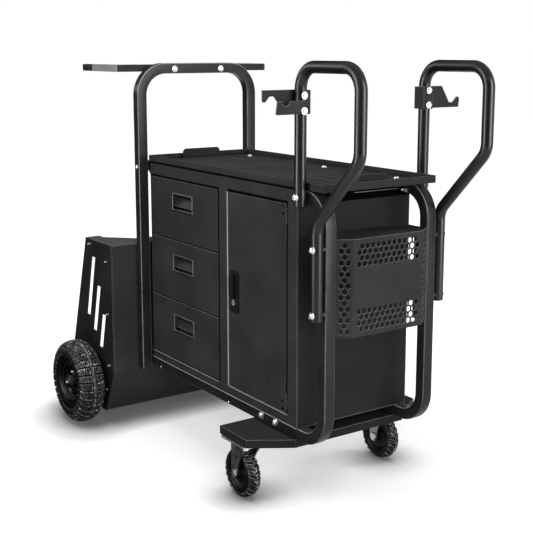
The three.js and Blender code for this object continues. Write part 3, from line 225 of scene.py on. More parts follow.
def swept(corners, bend, section, normal, steps):
    """A closed section carried along a bent path in one plane: p = centre + s * side + t * normal.

    side is tangent x normal, and (s, t) runs round the section. Both ends are closed by one face.
    """
    centre, tangent = bent_path(corners, bend, steps)
    side = np.cross(tangent, normal)
    points = centre[:, None] + section[None, :, :1] * side[:, None] + section[None, :, 1:] * normal
    rows, cols = points.shape[:2]
    faces = quads(rows, cols).tolist()
    faces += [list(range(cols)), list(range((rows - 1) * cols, rows * cols))]
    return points.reshape(-1, 3), faces


def round_section(radius, count):
    """A circle: (r cos a, r sin a)."""
    angle = np.arange(count) * 2 * math.pi / count
    return radius * np.stack([np.cos(angle), np.sin(angle)], -1)


def box_section(width, height, corner, steps=5):
    """A rectangle with round corners: four quarter circles of the corner radius."""
    angle = np.linspace(0, math.pi / 2, steps + 1)
    arcs = []
    for quarter, (sx, sy) in enumerate(((1, 1), (-1, 1), (-1, -1), (1, -1))):
        a = angle + quarter * math.pi / 2
        arcs.append(np.stack([sx * (width / 2 - corner) + corner * np.cos(a),
                              sy * (height / 2 - corner) + corner * np.sin(a)], -1))
    return np.concatenate(arcs)


def corner_highlight_and_wear(rows, steps=5):
    """Wear and painted highlight of a box section's points along a tube: 0 where a corner meets a flat, 1 in the
    corner's middle.
    """
    return 0.7 * np.tile(np.sin(np.linspace(0, math.pi, steps + 1)), (rows, 4)).ravel()


def basis(axis):
    """Two unit vectors across each of the given axes, as arrays of shape (n, 3)."""
    axis = np.atleast_2d(np.asarray(axis, float))
    helper = np.where(np.abs(axis[:, 2:]) > 0.9, AXIS_X, AXIS_Z)
    u = np.cross(helper, axis)
    u /= np.linalg.norm(u, axis=1)[:, None]
    return u, np.cross(axis, u)


def turned(profile, centres, axes, segments, radius_of=None):
    """Bodies of revolution: p = centre + r (cos a u + sin a v) + h axis, with (r, h) from the profile.

    radius_of(ring, a) may scale the radius of a ring by its angle. The first and last rings are closed.
    """
    profile = np.asarray(profile, float)
    centres = np.atleast_2d(np.asarray(centres, float))
    axes = np.broadcast_to(np.asarray(axes, float), centres.shape)
    u, v = basis(axes)
    angle = np.arange(segments) * 2 * math.pi / segments
    radius = np.repeat(profile[:, :1], segments, 1)
    if radius_of is not None:
        radius = radius * radius_of(np.arange(len(profile))[:, None], angle[None])
    spoke = np.cos(angle)[None, :, None] * u[:, None] + np.sin(angle)[None, :, None] * v[:, None]
    points = (centres[:, None, None] + radius[None, :, :, None] * spoke[:, None]
              + profile[None, :, 1, None, None] * axes[:, None, None])
    rows = len(profile)
    one = quads(rows, segments).tolist()
    one += [list(range(segments)), list(range((rows - 1) * segments, rows * segments))]
    return joined(*((p.reshape(-1, 3), one) for p in points))


# Finishes

class Nodes:
    """A short way to add nodes to one material's tree."""

    def __init__(self, name):
        self.material = bpy.data.materials.new(name)
        self.material.use_nodes = True
        self.tree = self.material.node_tree
        self.shader = self.tree.nodes["Principled BSDF"]
        self.place = self.add("ShaderNodeTexCoord").outputs["Object"]

    def add(self, kind, links=None, **values):
        node = self.tree.nodes.new(kind)
        for key, value in values.items():
            setattr(node, key, value)
        for key, source in (links or {}).items():
            self.put(node, key, source)
        return node

    def put(self, node, key, source):
        socket = node.inputs[key]
        if isinstance(source, bpy.types.NodeSocket):
            self.tree.links.new(source, socket)
        else:
            socket.default_value = source

    def noise(self, scale, detail=3.0, roughness=0.55):
        return self.add("ShaderNodeTexNoise", {"Vector": self.place, "Scale": scale, "Detail": detail,
                                               "Roughness": roughness}).outputs["Fac"]

    def span(self, fac, start, end, out_start, out_end):
        """Linear map of a value from start..end to out_start..out_end, held at both ends."""
        return self.add("ShaderNodeMapRange", {"Value": fac, "From Min": start, "From Max": end,
                                               "To Min": out_start, "To Max": out_end}).outputs["Result"]

    def blend(self, fac, first, second):
        node = self.add("ShaderNodeMix", data_type="RGBA")
        self.put(node, 0, fac)
        self.put(node, 6, first)
        self.put(node, 7, second)
        return node.outputs[2]

    def edge(self, radius):
        """How far the normal rounded over the given radius turns from the true one: 0 on flats, 1 on edges."""
        bevel = self.add("ShaderNodeBevel", {"Radius": radius}, samples=6)
        true = self.add("ShaderNodeNewGeometry").outputs["True Normal"]
        dot = self.add("ShaderNodeVectorMath", {0: bevel.outputs["Normal"], 1: true}, operation="DOT_PRODUCT")
        return bevel.outputs["Normal"], self.span(dot.outputs["Value"], 0.995, 0.75, 0.0, 1.0)

    def crevice(self, reach):
        """How open the surface is within a short reach: 0 deep in a narrow gap, 1 in the open."""
        node = self.add("ShaderNodeAmbientOcclusion", {"Distance": reach}, samples=8)
        return self.span(node.outputs["AO"], 0.3, 0.85, 0.0, 1.0)

    def bump(self, height, strength, distance, normal=None):
        links = {"Height": height, "Strength": strength, "Distance": distance}
        if normal is not None:
            links["Normal"] = normal
        return self.add("ShaderNodeBump", links).outputs["Normal"]

    def set(self, **sockets):
        for key, source in sockets.items():
            self.put(self.shader, key.replace("_", " "), source)
        return self.material


def rgba(colour, scale=1.0):
    """A colour setting as four numbers."""
    return (*(min(1.0, c * scale) for c in colour), 1.0)


# Reach of the painted shade in narrow gaps.
CREVICE = 14 * MM


def powder_finish(finishes, name, rough, specular, edge_width=2.2 * MM, depth=1.0, painted_gap_shade=True, dust_and_top_light=0.0, rub_and_highlight=1.0, peel=0.12):
    """Black powder coat: fine orange-peel grain, faint cloudy gloss changes, edges lightened by wear and painted
    highlight, painted shade in gaps and under things.

    depth scales the colour: below 1 the coat is blacker. The shade switch paints shade into narrow gaps and onto
    undersides, the dust amount lightens level tops with speckled dust and painted top light, and the rub amount is
    how far the edges are lightened by wear and painted highlight: those that face up most, as if lit from above, and
    those that face down least. peel is the depth of the grain.
    """
    n = Nodes(name)
    normal, edge = n.edge(edge_width)
    grain = n.noise(850.0, 2.0)
    cloud = n.noise(7.0, 4.0)
    scuff = n.noise(45.0, 6.0, 0.65)
    colour = n.blend(n.span(cloud, 0.35, 0.7, 0.0, 1.0), rgba(finishes.powder, 0.85 * depth),
                     rgba(finishes.powder, 1.25 * depth))
    true = n.add("ShaderNodeNewGeometry").outputs["True Normal"]
    level = n.add("ShaderNodeSeparateXYZ", {"Vector": true}).outputs["Z"]
    # Speckled dust with painted top light: faces that turn up are lightened towards the light grey, the more the
    # flatter.
    if dust_and_top_light:
        speckle = n.span(n.noise(160.0, 4.0, 0.7), 0.35, 0.65, 0.5 * dust_and_top_light, dust_and_top_light)
        fall = n.add("ShaderNodeMath", {0: n.span(level, 0.7, 0.98, 0.0, 1.0), 1: speckle}, operation="MULTIPLY")
        colour = n.blend(fall.outputs[0], colour, rgba(finishes.worn_and_highlight, 0.35))
    # Painted shade: near black deep in narrow gaps, and a quarter as bright on faces that turn down.
    if painted_gap_shade:
        colour = n.blend(n.crevice(CREVICE), rgba(finishes.powder, 0.05), colour)
        colour = n.blend(n.span(level, -0.85, -0.5, 0.0, 1.0), rgba(finishes.powder, 0.25), colour)
    # Wear and painted highlight: rounded edges and tube corners are lightened, patchily, most where the rounded normal
    # faces up as if lit from above, and not where it faces down.
    corner = n.add("ShaderNodeAttribute", attribute_name="wear_and_highlight").outputs["Fac"]
    rounded = n.add("ShaderNodeSeparateXYZ", {"Vector": normal}).outputs["Z"]
    rubbed_and_highlight = n.add("ShaderNodeMath", {0: edge, 1: corner}, operation="MAXIMUM").outputs[0]
    edge_lit_from_above = n.add("ShaderNodeMath", {0: rubbed_and_highlight, 1: n.span(rounded, -0.45, 0.5, 0.0, rub_and_highlight)}, operation="MULTIPLY")
    wear_and_highlight = n.add("ShaderNodeMath", {0: edge_lit_from_above.outputs[0], 1: n.span(scuff, 0.3, 0.6, 0.5, 1.0)},
                 operation="MULTIPLY").outputs[0]
    worn_and_highlight = n.blend(wear_and_highlight, colour, rgba(finishes.worn_and_highlight))
    return n.set(Base_Color=worn_and_highlight, Roughness=n.span(cloud, 0.3, 0.75, rough - 0.05, rough + 0.07),
                 Normal=n.bump(grain, peel, 0.0006, normal), Specular_IOR_Level=specular)


def zinc_finish(finishes, name, level):
    """Zinc plate: fine drawn lines, patchy passivation and soft edges; level makes it brighter or duller."""
    n = Nodes(name)
    normal, edge = n.edge(0.8 * MM)
    patch = n.noise(60.0, 5.0)
    colour = n.blend(n.span(patch, 0.3, 0.7, 0.0, 1.0), rgba(finishes.zinc, 0.85 * level),
                     rgba(finishes.zinc, 1.1 * level))
    return n.set(Base_Color=colour, Metallic=1.0, Roughness=n.span(patch, 0.3, 0.7, 0.24, 0.42),
                 Normal=n.bump(n.noise(420.0, 2.0), 0.08, 0.0004, normal))


def rubber_finish(finishes):
    """Tyre rubber: fine grain, black in the grooves, with painted glints and sheen, and some rubbing, on the blocks'
    tops and rims.
    """
    n = Nodes("tyre_rubber")
    cloud = n.noise(38.0, 5.0)
    colour = n.blend(n.span(cloud, 0.35, 0.72, 0.0, 1.0), rgba(finishes.rubber), rgba(finishes.rubber, 2.0))
    wear_and_highlight = n.add("ShaderNodeAttribute", attribute_name="wear_and_highlight").outputs["Fac"]
    normal = n.add("ShaderNodeNewGeometry").outputs["Normal"]
    level = n.add("ShaderNodeSeparateXYZ", {"Vector": normal}).outputs["Z"]
    # Painted light from above: the glints and sheen are strongest on faces that turn up.
    glint_lit_from_above = n.span(level, -0.4, 0.6, 0.35, 1.0)
    patch = n.span(n.noise(30.0, 4.0), 0.4, 0.62, 0.45, 1.0)
    # Painted glint spots: scattered brighter dabs along the blocks' rims.
    painted_glint_spot = n.span(n.noise(75.0, 3.0), 0.55, 0.66, 0.0, 1.0)
    rim = n.span(wear_and_highlight, 0.2, 0.5, 0.0, 1.0)
    for amount, spread, shade in ((wear_and_highlight, patch, 1.0), (rim, painted_glint_spot, 2.5)):
        fall = n.add("ShaderNodeMath", {0: amount, 1: spread}, operation="MULTIPLY").outputs[0]
        fall = n.add("ShaderNodeMath", {0: fall, 1: glint_lit_from_above}, operation="MULTIPLY").outputs[0]
        colour = n.blend(fall, colour, rgba(finishes.rubbed_and_highlight, shade))
    return n.set(Base_Color=colour, Roughness=n.span(cloud, 0.3, 0.7, 0.25, 0.38),
                 Normal=n.bump(n.noise(700.0, 3.0), 0.15, 0.0006), Specular_IOR_Level=0.08)


def plastic_finish(finishes):
    """Moulded plastic: spark-eroded grain with a soft sheen."""
    n = Nodes("moulded_plastic")
    normal, edge = n.edge(0.001)
    cloud = n.noise(20.0, 3.0)
    colour = n.blend(n.span(cloud, 0.3, 0.7, 0.0, 1.0), rgba(finishes.plastic), rgba(finishes.plastic, 1.5))
    return n.set(Base_Color=colour, Roughness=n.span(cloud, 0.3, 0.7, 0.36, 0.5),
                 Normal=n.bump(n.noise(950.0, 2.0), 0.15, 0.0005, normal), Specular_IOR_Level=0.1)


def grip_finish(finishes):
    """Grey coated tube: satin, with a fine grain and edges lightened by wear and painted highlight."""
    n = Nodes("grip_coat")
    normal, edge = n.edge(0.0016)
    cloud = n.noise(25.0, 4.0)
    colour = n.blend(n.span(cloud, 0.3, 0.7, 0.0, 1.0), rgba(finishes.grip, 0.9), rgba(finishes.grip, 1.1))
    # Wear and painted highlight: rounded edges lightened up to three times the grey.
    worn_and_highlight = n.blend(n.span(edge, 0.0, 1.0, 0.0, 0.6), colour, rgba(finishes.grip, 3.0))
    return n.set(Base_Color=worn_and_highlight, Roughness=n.span(cloud, 0.3, 0.7, 0.4, 0.52),
                 Normal=n.bump(n.noise(800.0, 2.0), 0.1, 0.0005, normal))


def near_black_finish():
    """Near black with an open grain and no gloss: painted shade in the strips put in the gaps, and the black of the
    spacers, the rivets and the boards.
    """
    n = Nodes("seam_rubber")
    cloud = n.noise(60.0, 3.0)
    colour = n.blend(n.span(cloud, 0.3, 0.7, 0.0, 1.0), (0.0012, 0.0012, 0.0012, 1.0), (0.003, 0.003, 0.003, 1.0))
    return n.set(Base_Color=colour, Roughness=n.span(cloud, 0.3, 0.7, 0.85, 0.95),
                 Normal=n.bump(n.noise(600.0, 2.0), 0.2, 0.0005), Specular_IOR_Level=0.01)


def pull_rim_finish(name, level):
    """A light satin grey: the thin rims round the pulls, and, brighter, the strips of painted highlight along folded
    edges.
    """
    n = Nodes(name)
    cloud = n.noise(90.0, 3.0)
    grey = (1.0, 1.0, 1.015)
    colour = n.blend(n.span(cloud, 0.3, 0.7, 0.0, 1.0), rgba(grey, 0.75 * level), rgba(grey, 1.25 * level))
    return n.set(Base_Color=colour, Roughness=n.span(cloud, 0.3, 0.7, 0.3, 0.42),
                 Normal=n.bump(n.noise(700.0, 2.0), 0.1, 0.0004))


FINISHES = {}


def make_finishes(finishes):
    """All finishes, by the record's slot names and by their own names for the pieces made here."""
    rough = finishes.powder_rough
    FINISHES.update({
        "black_powder": powder_finish(finishes, "powder_coat", rough, 0.035, dust_and_top_light=0.3),
        "tube_powder": powder_finish(finishes, "tube_powder_coat", rough - 0.2, 0.22, depth=0.17, painted_gap_shade=False,
                                     rub_and_highlight=0.0, peel=0.02),
        "square_powder": powder_finish(finishes, "square_tube_coat", rough - 0.2, 0.11, depth=0.5, painted_gap_shade=False, dust_and_top_light=0.3,
                                       peel=0.04),
        # The hoop's edges and corners get a stronger painted highlight with their wear.
        "hoop_powder": powder_finish(finishes, "hoop_tube_coat", rough - 0.2, 0.11, depth=0.6, painted_gap_shade=False, dust_and_top_light=0.3,
                                     rub_and_highlight=1.8, peel=0.04),
        # Matte copy of the coat for the tray, a little lighter as painted light.
        "tray_painted_light_finish": powder_finish(finishes, "tray_powder_coat", rough + 0.3, 0.03, depth=1.1, rub_and_highlight=0.3),
        # Lighter copy for the rack with much dust and painted top light: painted light.
        "rack_painted_light_finish": powder_finish(finishes, "rack_powder_coat", rough, 0.06, depth=1.25, dust_and_top_light=0.7),
        # Darker copy for the rack sides and the end panel: painted shade.
        "side_painted_shade_finish": powder_finish(finishes, "shade_powder_coat", rough, 0.035, depth=0.56),
        # Darker copy for the caster platform: painted shade, with a little dust and painted top light.
        "platform_painted_shade_finish": powder_finish(finishes, "platform_powder_coat", rough, 0.035, depth=0.5, dust_and_top_light=0.15),
        # Slightly darker copy for the guard, with no dust or top light: painted shade.
        "guard_painted_shade_finish": powder_finish(finishes, "guard_powder_coat", rough, 0.035, depth=0.95),
        "rim_powder": powder_finish(finishes, "rim_gloss_coat", rough - 0.32, 0.15, 1.5 * MM, 0.15),
        "pull_plastic": powder_finish(finishes, "pull_plastic", rough - 0.1, 0.06, 1.5 * MM),
        "seam_rubber": near_black_finish(),
        "zinc": zinc_finish(finishes, "zinc_plate", 0.95),
        "dull_zinc": zinc_finish(finishes, "dull_zinc_plate", 0.38),
        "dark_zinc": zinc_finish(finishes, "dark_zinc_plate", 0.55),
        "tyre_rubber": rubber_finish(finishes),
        "black_plastic": plastic_finish(finishes),
        "grip_grey": grip_finish(finishes),
        "pull_rim": pull_rim_finish("pull_rim", 0.12),
        # Strips of painted highlight along folded edges.
        "bright_edge": pull_rim_finish("bright_edge", 0.3),
    })


class CART_OT_panels(bpy.types.Operator):
    """Give every CAD node the finish of its slot"""
    bl_idname = "cart.panels"
    bl_label = "Panels and finishes"

    def execute(self, context):
        make_finishes(context.scene.cart.finishes)
        slots = {entry["node"]: entry["material_slot"] for entry in frame["record"]["subparts"]}
        for name, node in NODES.items():
            finish = slots[name]
            if name.startswith(("caster_fork", "runner_panel")):
                finish = "dull_zinc"
            elif name.startswith("caster_plate"):
                finish = "zinc"
            # Darker and lighter copies of the powder coat paint shade and light on these parts.
            elif name.startswith("rack_side") or name == "cabinet_end_panel":
                finish = "side_painted_shade_finish"
            elif name.startswith("rack_"):
                finish = "rack_painted_light_finish"
            elif name == "front_guard":
                finish = "guard_painted_shade_finish"
            elif name == "caster_platform":
                finish = "platform_painted_shade_finish"
            elif name.endswith("_pull"):
                finish = "pull_plastic"
            elif name == "top_tray":
                finish = "tray_painted_light_finish"
            node.data.materials.clear()
            node.data.materials.append(FINISHES[finish])
        return {"FINISHED"}


# Tubes

class CART_OT_tubes(bpy.types.Operator):
    """Make the side frames, the rear hoop and the cable handles as smooth bent tubes"""
    bl_idname = "cart.tubes"
    bl_label = "Bent tubes"

    def execute(self, context):
        sizes = context.scene.cart.tubes
        for side in SIDES:
            self.side_frame(side, sizes)
            self.handle(side, sizes)
        self.hoop(sizes)
        return {"FINISHED"}

    def side_frame(self, side, sizes):
        """Square tube round the cabinet's nose: bottom rail, front upright, top rail."""
        node = f"side_frame_{side}"
        lo, hi = low(node), high(node)
        tube = hi[1] - lo[1]
        y = (lo[1] + hi[1]) / 2
        front, base, top = hi[0] - tube / 2, lo[2] + tube / 2, hi[2] - tube / 2
        corners = [(lo[0], y, base), (front, y, base), (front, y, top), (lo[0], y, top)]
        section = box_section(tube, tube, sizes.corner)
        shape = swept(corners, sizes.frame_bend, section, AXIS_Y, sizes.bend_steps)
        add_piece(f"bent_{node}", shape, FINISHES["square_powder"], "frame", [node],
                  wear_and_highlight=corner_highlight_and_wear(len(shape[0]) // len(section)))

    def hoop(self, sizes):
        """Rectangular tube over the rear of the cart."""
        lo, hi = low("rear_hoop"), high("rear_hoop")
        x = hi[0] - sizes.hoop_depth / 2
        y, top = hi[1] - HOOP_TUBE / 2, hi[2] - HOOP_TUBE / 2
        corners = [(x, -y, lo[2]), (x, -y, top), (x, y, top), (x, y, lo[2])]
        section = box_section(HOOP_TUBE, sizes.hoop_depth, sizes.corner)
        shape = swept(corners, sizes.hoop_bend, section, AXIS_X, sizes.bend_steps)
        add_piece("bent_rear_hoop", shape, FINISHES["hoop_powder"], "frame", ["rear_hoop"],
                  wear_and_highlight=corner_highlight_and_wear(len(shape[0]) // len(section)))

    def handle(self, side, sizes):
        """Round tube: up from the top rail, over, down, and back to the front upright, with its seats."""
        node = f"handle_{side}"
        lo, hi = low(node), high(node)
        radius = sizes.handle_radius
        outward = SIDES[side]
        y = (lo[1] if outward < 0 else hi[1]) - outward * radius
        rear, front, top = lo[0] + radius, hi[0] - radius, hi[2] - radius
        tail = rear + HANDLE_TAIL
        rear_foot = hi[2] - HANDLE_REAR_FOOT
        knee, hip = hi[2] - HANDLE_KNEE, hi[2] - HANDLE_HIP
        corners = [(rear, y, rear_foot), (rear, y, top), (front, y, top), (front, y, knee), (tail, y, hip),
                   (tail, y, lo[2])]
        tube = swept(corners, sizes.handle_bend, round_section(radius, 32), AXIS_Y, sizes.bend_steps)
        seat = lo[1] if outward > 0 else hi[1]
        depth = abs(seat - y)
        spots = np.array([(rear, seat, z) for z in HANDLE_REAR_SEATS] + [(tail, seat, z) for z in HANDLE_TAIL_SEATS])
        seats = turned([(8 * MM, 0.0), (8 * MM, depth)], spots, outward * AXIS_Y, 24)
        add_piece(f"bent_{node}", joined(tube, seats), FINISHES["tube_powder"], "frame", [node])


HOOP_TUBE = 31 * MM
HANDLE_TAIL = 68 * MM
HANDLE_REAR_FOOT = 341.7 * MM
HANDLE_KNEE = 216 * MM
HANDLE_HIP = 378 * MM
HANDLE_REAR_SEATS = (0.8138,)
HANDLE_TAIL_SEATS = (0.697, 0.539)
PULL_MOUTH = 5 * MM


# Wheels

def smooth_step(value, start, end):
    """0 below start, 1 above end, and 3 t^2 - 2 t^3 between them."""
    t = np.clip((value - start) / (end - start), 0, 1)
    return t * t * (3 - 2 * t)


def ridge(value, low_edge, high_edge, slope):
    """1 between two edges and 0 outside them, with a smooth slope at each edge."""
    return smooth_step(value, low_edge - slope, low_edge) * (1 - smooth_step(value, high_edge, high_edge + slope))


def tyre_surface(bead, crown, half_width, bead_half, around, across, relief, rib=0.0):
    """Closed ring of a tyre: the section is carried round the axle, and relief lifts it along its normal.

    Section for w in -1..1, with p = 2.62 w: y = half_width * sgn(p) sin(|p|)^k, r = belly + (crown - belly) cos(p)^0.8
    above the belly and r = belly + (belly - bead) cos(p) / 0.87 below it; k is 0.9 above and set by the bead below.
    relief(angle, w) is the height of the tread there, and a rib of that half width round the crown gets a painted
    sheen.
    """
    belly = bead + 0.47 * (crown - bead)
    w = np.linspace(-1, 1, across)
    p = 2.62 * w
    cosine, sine = np.cos(p), np.abs(np.sin(p))
    foot = math.log(bead_half / half_width) / math.log(math.sin(2.62))
    power = np.where(cosine > 0, 0.9, foot)
    y = half_width * np.sign(p) * sine ** power
    rise = np.where(cosine > 0, (crown - belly) * np.abs(cosine) ** 0.8, (belly - bead) * cosine / 0.868)
    r = belly + rise
    dr, dy = np.gradient(r, w), np.gradient(y, w)
    length = np.hypot(dr, dy)
    normal_r, normal_y = dy / length, -dr / length
    angle = np.arange(around) * 2 * math.pi / around
    lift = relief(angle[:, None], w[None])
    radius = r[None] + lift * normal_r[None]
    side = y[None] + lift * normal_y[None]
    points = np.stack([radius * np.sin(angle)[:, None], side, radius * np.cos(angle)[:, None]], -1)
    # Painted sheen: the crown rib is lightened as if it caught the light.
    rib_sheen = RIB_PAINTED_SHEEN * ridge(np.abs(w), -1.0, rib, 0.01)[None] if rib else 0.0
    wear_and_highlight = np.maximum(rim_glint_and_wear(lift), rib_sheen)
    return (points.reshape(-1, 3), quads(around, across, True, True).tolist()), wear_and_highlight


def rim_glint_and_wear(lift):
    """How far the tread is lightened by painted glints and rubbing: some on the tops of the blocks, most along their
    rims, none in the grooves.

    The tops are where the height is nearly the greatest. A rim is a high place next to much lower ones: the height
    less the mean of the four neighbours two steps away.
    """
    top = smooth_step(lift / lift.max(), 0.75, 0.95)
    near = sum(np.roll(lift, step, axis) for axis in (0, 1) for step in (-2, 2)) / 4
    rim = np.clip((lift - near) / (0.3 * lift.max()), 0, 1)
    return np.clip(0.07 * top + 0.5 * rim, 0, 1)


def block_tread(count, height):
    """Rear tyre: a rib round the crown, three rows of blocks on each side of it and low bars down the walls.

    The grooves across run straight through all rows: phase = turn + 0.3 |w|, with a block where it is in 0.13..0.87.
    """
    rows = ((0.064, 0.19, 1.0), (0.22, 0.34, 1.0), (0.37, 0.48, 0.95), (0.51, 0.66, 0.5))

    def relief(angle, w):
        phase = (angle * count / (2 * math.pi) + 0.3 * np.abs(w)) % 1.0
        block = ridge(phase, 0.13, 0.87, 0.05)
        total = ridge(np.abs(w), -1.0, RIB_HALF, 0.015) * np.ones_like(block)
        for start, end, share in rows:
            total = np.maximum(total, ridge(np.abs(w), start, end, 0.015) * block * share)
        return height * total
    return relief


def lug_tread(count, height):
    """Caster tyre: slanting lugs from the middle to the shoulder, turned half a pitch from side to side."""
    def relief(angle, w):
        turn = angle * count / (2 * math.pi)
        phase = (turn + 0.25 * np.sign(w) + 1.1 * np.abs(w)) % 1.0
        lug = ridge(phase, 0.16, 0.68, 0.1)
        reach = ridge(np.abs(w), 0.03, 0.47, 0.03)
        wall = ridge(np.abs(w), 0.36, 0.56, 0.03) * ridge((2 * turn) % 1.0, 0.2, 0.75, 0.12) * 0.5
        return height * np.maximum(lug * reach, wall)
    return relief


def moved(shape, centre):
    """A shape moved to a centre."""
    points, faces = shape
    return points + np.asarray(centre), faces


class CART_OT_rear_wheels(bpy.types.Operator):
    """Make the air-filled rear tyres with their block tread, and the pressed rims with their bolts"""
    bl_idname = "cart.rear_wheels"
    bl_label = "Rear wheels"

    def execute(self, context):
        sizes = context.scene.cart.wheels
        for side in SIDES:
            self.tyre(side, sizes)
            self.rim(side, sizes)
            self.axle(side)
        return {"FINISHED"}

    def tyre(self, side, sizes):
        node = f"wheel_tyre_{side}"
        lo, hi = low(node), high(node)
        crown = (hi[2] - lo[2]) / 2 - sizes.block_height
        half = (hi[1] - lo[1]) / 2 - 0.3 * sizes.block_height
        bead = 62.3 * MM
        relief = block_tread(sizes.blocks, sizes.block_height)
        shape, wear_and_highlight = tyre_surface(bead, crown, half, 26 * MM, sizes.blocks * 18, 161, relief, RIB_HALF)
        add_piece(f"treaded_{node}", moved(shape, middle(node)), FINISHES["tyre_rubber"], f"rear_wheel_{side}",
                  [node], wear_and_highlight=wear_and_highlight)

    def rim(self, side, sizes):
        """Rolled rim with a lip and a dished disc, a hub, four bolts and the valve."""
        node = f"wheel_rim_{side}"
        centre = middle(node)
        hub = (high(node)[1] - low(node)[1]) / 2
        outward = SIDES[side] * AXIS_Y
        half = [(62.0, 24.0), (62.0, 26.5), (59.5, 27.6), (56.5, 27.0), (55.0, 24.0), (52.5, 17.0), (48.0, 12.0),
                (42.0, 9.6), (30.0, 9.0), (24.5, 9.6), (22.2, 12.0), (21.0, 16.0), (20.6, hub / MM - 1.5),
                (19.6, hub / MM), (8.6, hub / MM)]
        ring = np.array(half) * MM
        profile = np.concatenate([ring[::-1] * (1, -1), ring])
        disc = turned(profile, centre, outward, 72)
        add_piece(f"pressed_{node}", disc, FINISHES["rim_powder"], f"rear_wheel_{side}", [node])
        angle = math.radians(137) + np.arange(4) * math.pi / 2
        spots = centre + np.stack([sizes.bolt_circle * np.cos(angle), np.full(4, 9 * MM) * SIDES[side],
                                   sizes.bolt_circle * np.sin(angle)], -1)
        bolts = hex_bolts(spots, outward, 3.4 * MM, 4 * MM)
        valve_at = centre + np.array((38 * MM, SIDES[side] * 10 * MM, -24 * MM))
        valve = turned(np.array([(4.2, 0), (4.2, 7), (3.0, 9), (3.0, 22), (3.6, 22.5), (3.6, 30), (2.6, 31)]) * MM,
                       valve_at, outward, 16)
        add_piece(f"rim_bolts_{side}", bolts, FINISHES["zinc"], f"rear_wheel_{side}")
        add_piece(f"rim_valve_{side}", valve, FINISHES["black_plastic"], f"rear_wheel_{side}")


    def axle(self, side):
        """Stub axle with its flange on the rack and a spacer, and a washer and nut on its outer end."""
        node = f"stub_axle_{side}"
        lo, hi = low(node), high(node)
        start = middle(node)
        start[1] = hi[1] if SIDES[side] < 0 else lo[1]
        outward = SIDES[side] * AXIS_Y
        profile = np.array([(8.0, 0.0), (8.0, 6.3), (34.0, 6.3), (34.0, 11.3), (17.0, 11.3), (17.0, 30.2), (8.0, 30.2),
                            (8.0, 102.8), (13.0, 102.8), (13.0, 104.0), (5.0, 104.2)]) * MM
        add_piece(f"turned_{node}", turned(profile, start, outward, 40), FINISHES["rim_powder"], "frame", [node])
        nut = hex_bolts(start + outward * 104.0 * MM, outward, 4.6 * MM, 4.5 * MM)
        add_piece(f"axle_nut_{side}", nut, FINISHES["zinc"], "frame")


class CART_OT_casters(bpy.types.Operator):
    """Make the lugged caster tyres and their moulded rims"""
    bl_idname = "cart.casters"
    bl_label = "Casters"

    def execute(self, context):
        sizes = context.scene.cart.wheels
        for side in SIDES:
            node = f"caster_tyre_{side}"
            lo, hi = low(node), high(node)
            crown = (hi[2] - lo[2]) / 2 - sizes.lug_height
            half = (hi[1] - lo[1]) / 2 - 0.4 * sizes.lug_height
            shape, wear_and_highlight = tyre_surface(42.3 * MM, crown, half, 13 * MM, sizes.lugs * 18, 81,
                                       lug_tread(sizes.lugs, sizes.lug_height))
            add_piece(f"lugged_{node}", moved(shape, middle(node)), FINISHES["tyre_rubber"],
                      f"caster_wheel_{side}", [node], wear_and_highlight=wear_and_highlight)
            self.rim(side)
            self.plate_bolts(side)
        return {"FINISHED"}

    def rim(self, side):
        """Moulded rim: lip, dished web and hub, the same on both faces."""
        node = f"caster_rim_{side}"
        hub = (high(node)[1] - low(node)[1]) / 2 / MM
        half = np.array([(42.0, 10.0), (42.0, 12.6), (40.5, 13.4), (38.6, 12.8), (37.4, 10.0), (34.0, 7.4), (26.0, 6.6),
                         (18.0, 7.2), (15.0, 9.0), (13.8, 13.0), (13.2, hub - 0.8), (12.4, hub), (6.4, hub)]) * MM
        profile = np.concatenate([half[::-1] * (1, -1), half])
        shape = turned(profile, middle(node), AXIS_Y, 56)
        add_piece(f"moulded_{node}", shape, FINISHES["black_plastic"], f"caster_wheel_{side}",
                  [node])

    def plate_bolts(self, side):
        """Four bolts with nuts under each caster plate."""
        node = f"caster_plate_{side}"
        lo, hi = low(node), high(node)
        inset = 11 * MM
        z = hi[2] - 4 * MM
        spots = np.array([(x, y, z) for x in (lo[0] + inset, hi[0] - inset) for y in (lo[1] + inset, hi[1] - inset)])
        add_piece(f"plate_bolts_{side}", hex_bolts(spots, -AXIS_Z, 7 * MM, 6 * MM), FINISHES["zinc"], "frame")


# Fasteners

def button_bolts(spots, axes, radius, height):
    """Button heads with a hexagon socket: a domed profile, and a socket whose radius follows a hexagon."""
    share = np.array([(1.22, 0.0), (1.22, 0.18), (1.0, 0.2), (1.0, 0.35), (0.94, 0.62), (0.78, 0.86), (0.58, 0.98),
                      (0.5, 1.0), (0.46, 0.96), (0.44, 0.5)])
    profile = share * (radius, height)

    def socket(ring, angle):
        hexagon = math.cos(math.pi / 6) / np.cos(angle % (math.pi / 3) - math.pi / 6)
        return np.where(ring >= len(share) - 2, hexagon, 1.0)

    return turned(profile, spots, axes, 24, socket)


def hex_bolts(spots, axes, radius, height):
    """Hexagon heads on a washer: round rings for the washer, then rings that follow a hexagon with a domed top."""
    share = np.array([(1.45, 0.0), (1.45, 0.22), (1.2, 0.25), (1.0, 0.27), (1.0, 0.85), (0.9, 1.0), (0.55, 1.02)])
    profile = share * (radius, height)

    def flats(ring, angle):
        hexagon = math.cos(math.pi / 6) / np.cos(angle % (math.pi / 3) - math.pi / 6)
        return np.where((ring == 3) | (ring == 4), hexagon / math.cos(math.pi / 6), 1.0)

    return turned(profile, spots, axes, 24, flats)


def dome_rivets(spots, axes, radius, height):
    """Rivet heads: a low dome, r cos t against h sin t."""
    t = np.linspace(0, 0.45 * math.pi, 6)
    return turned(np.stack([radius * np.cos(t), height * np.sin(t)], -1), spots, axes, 18)


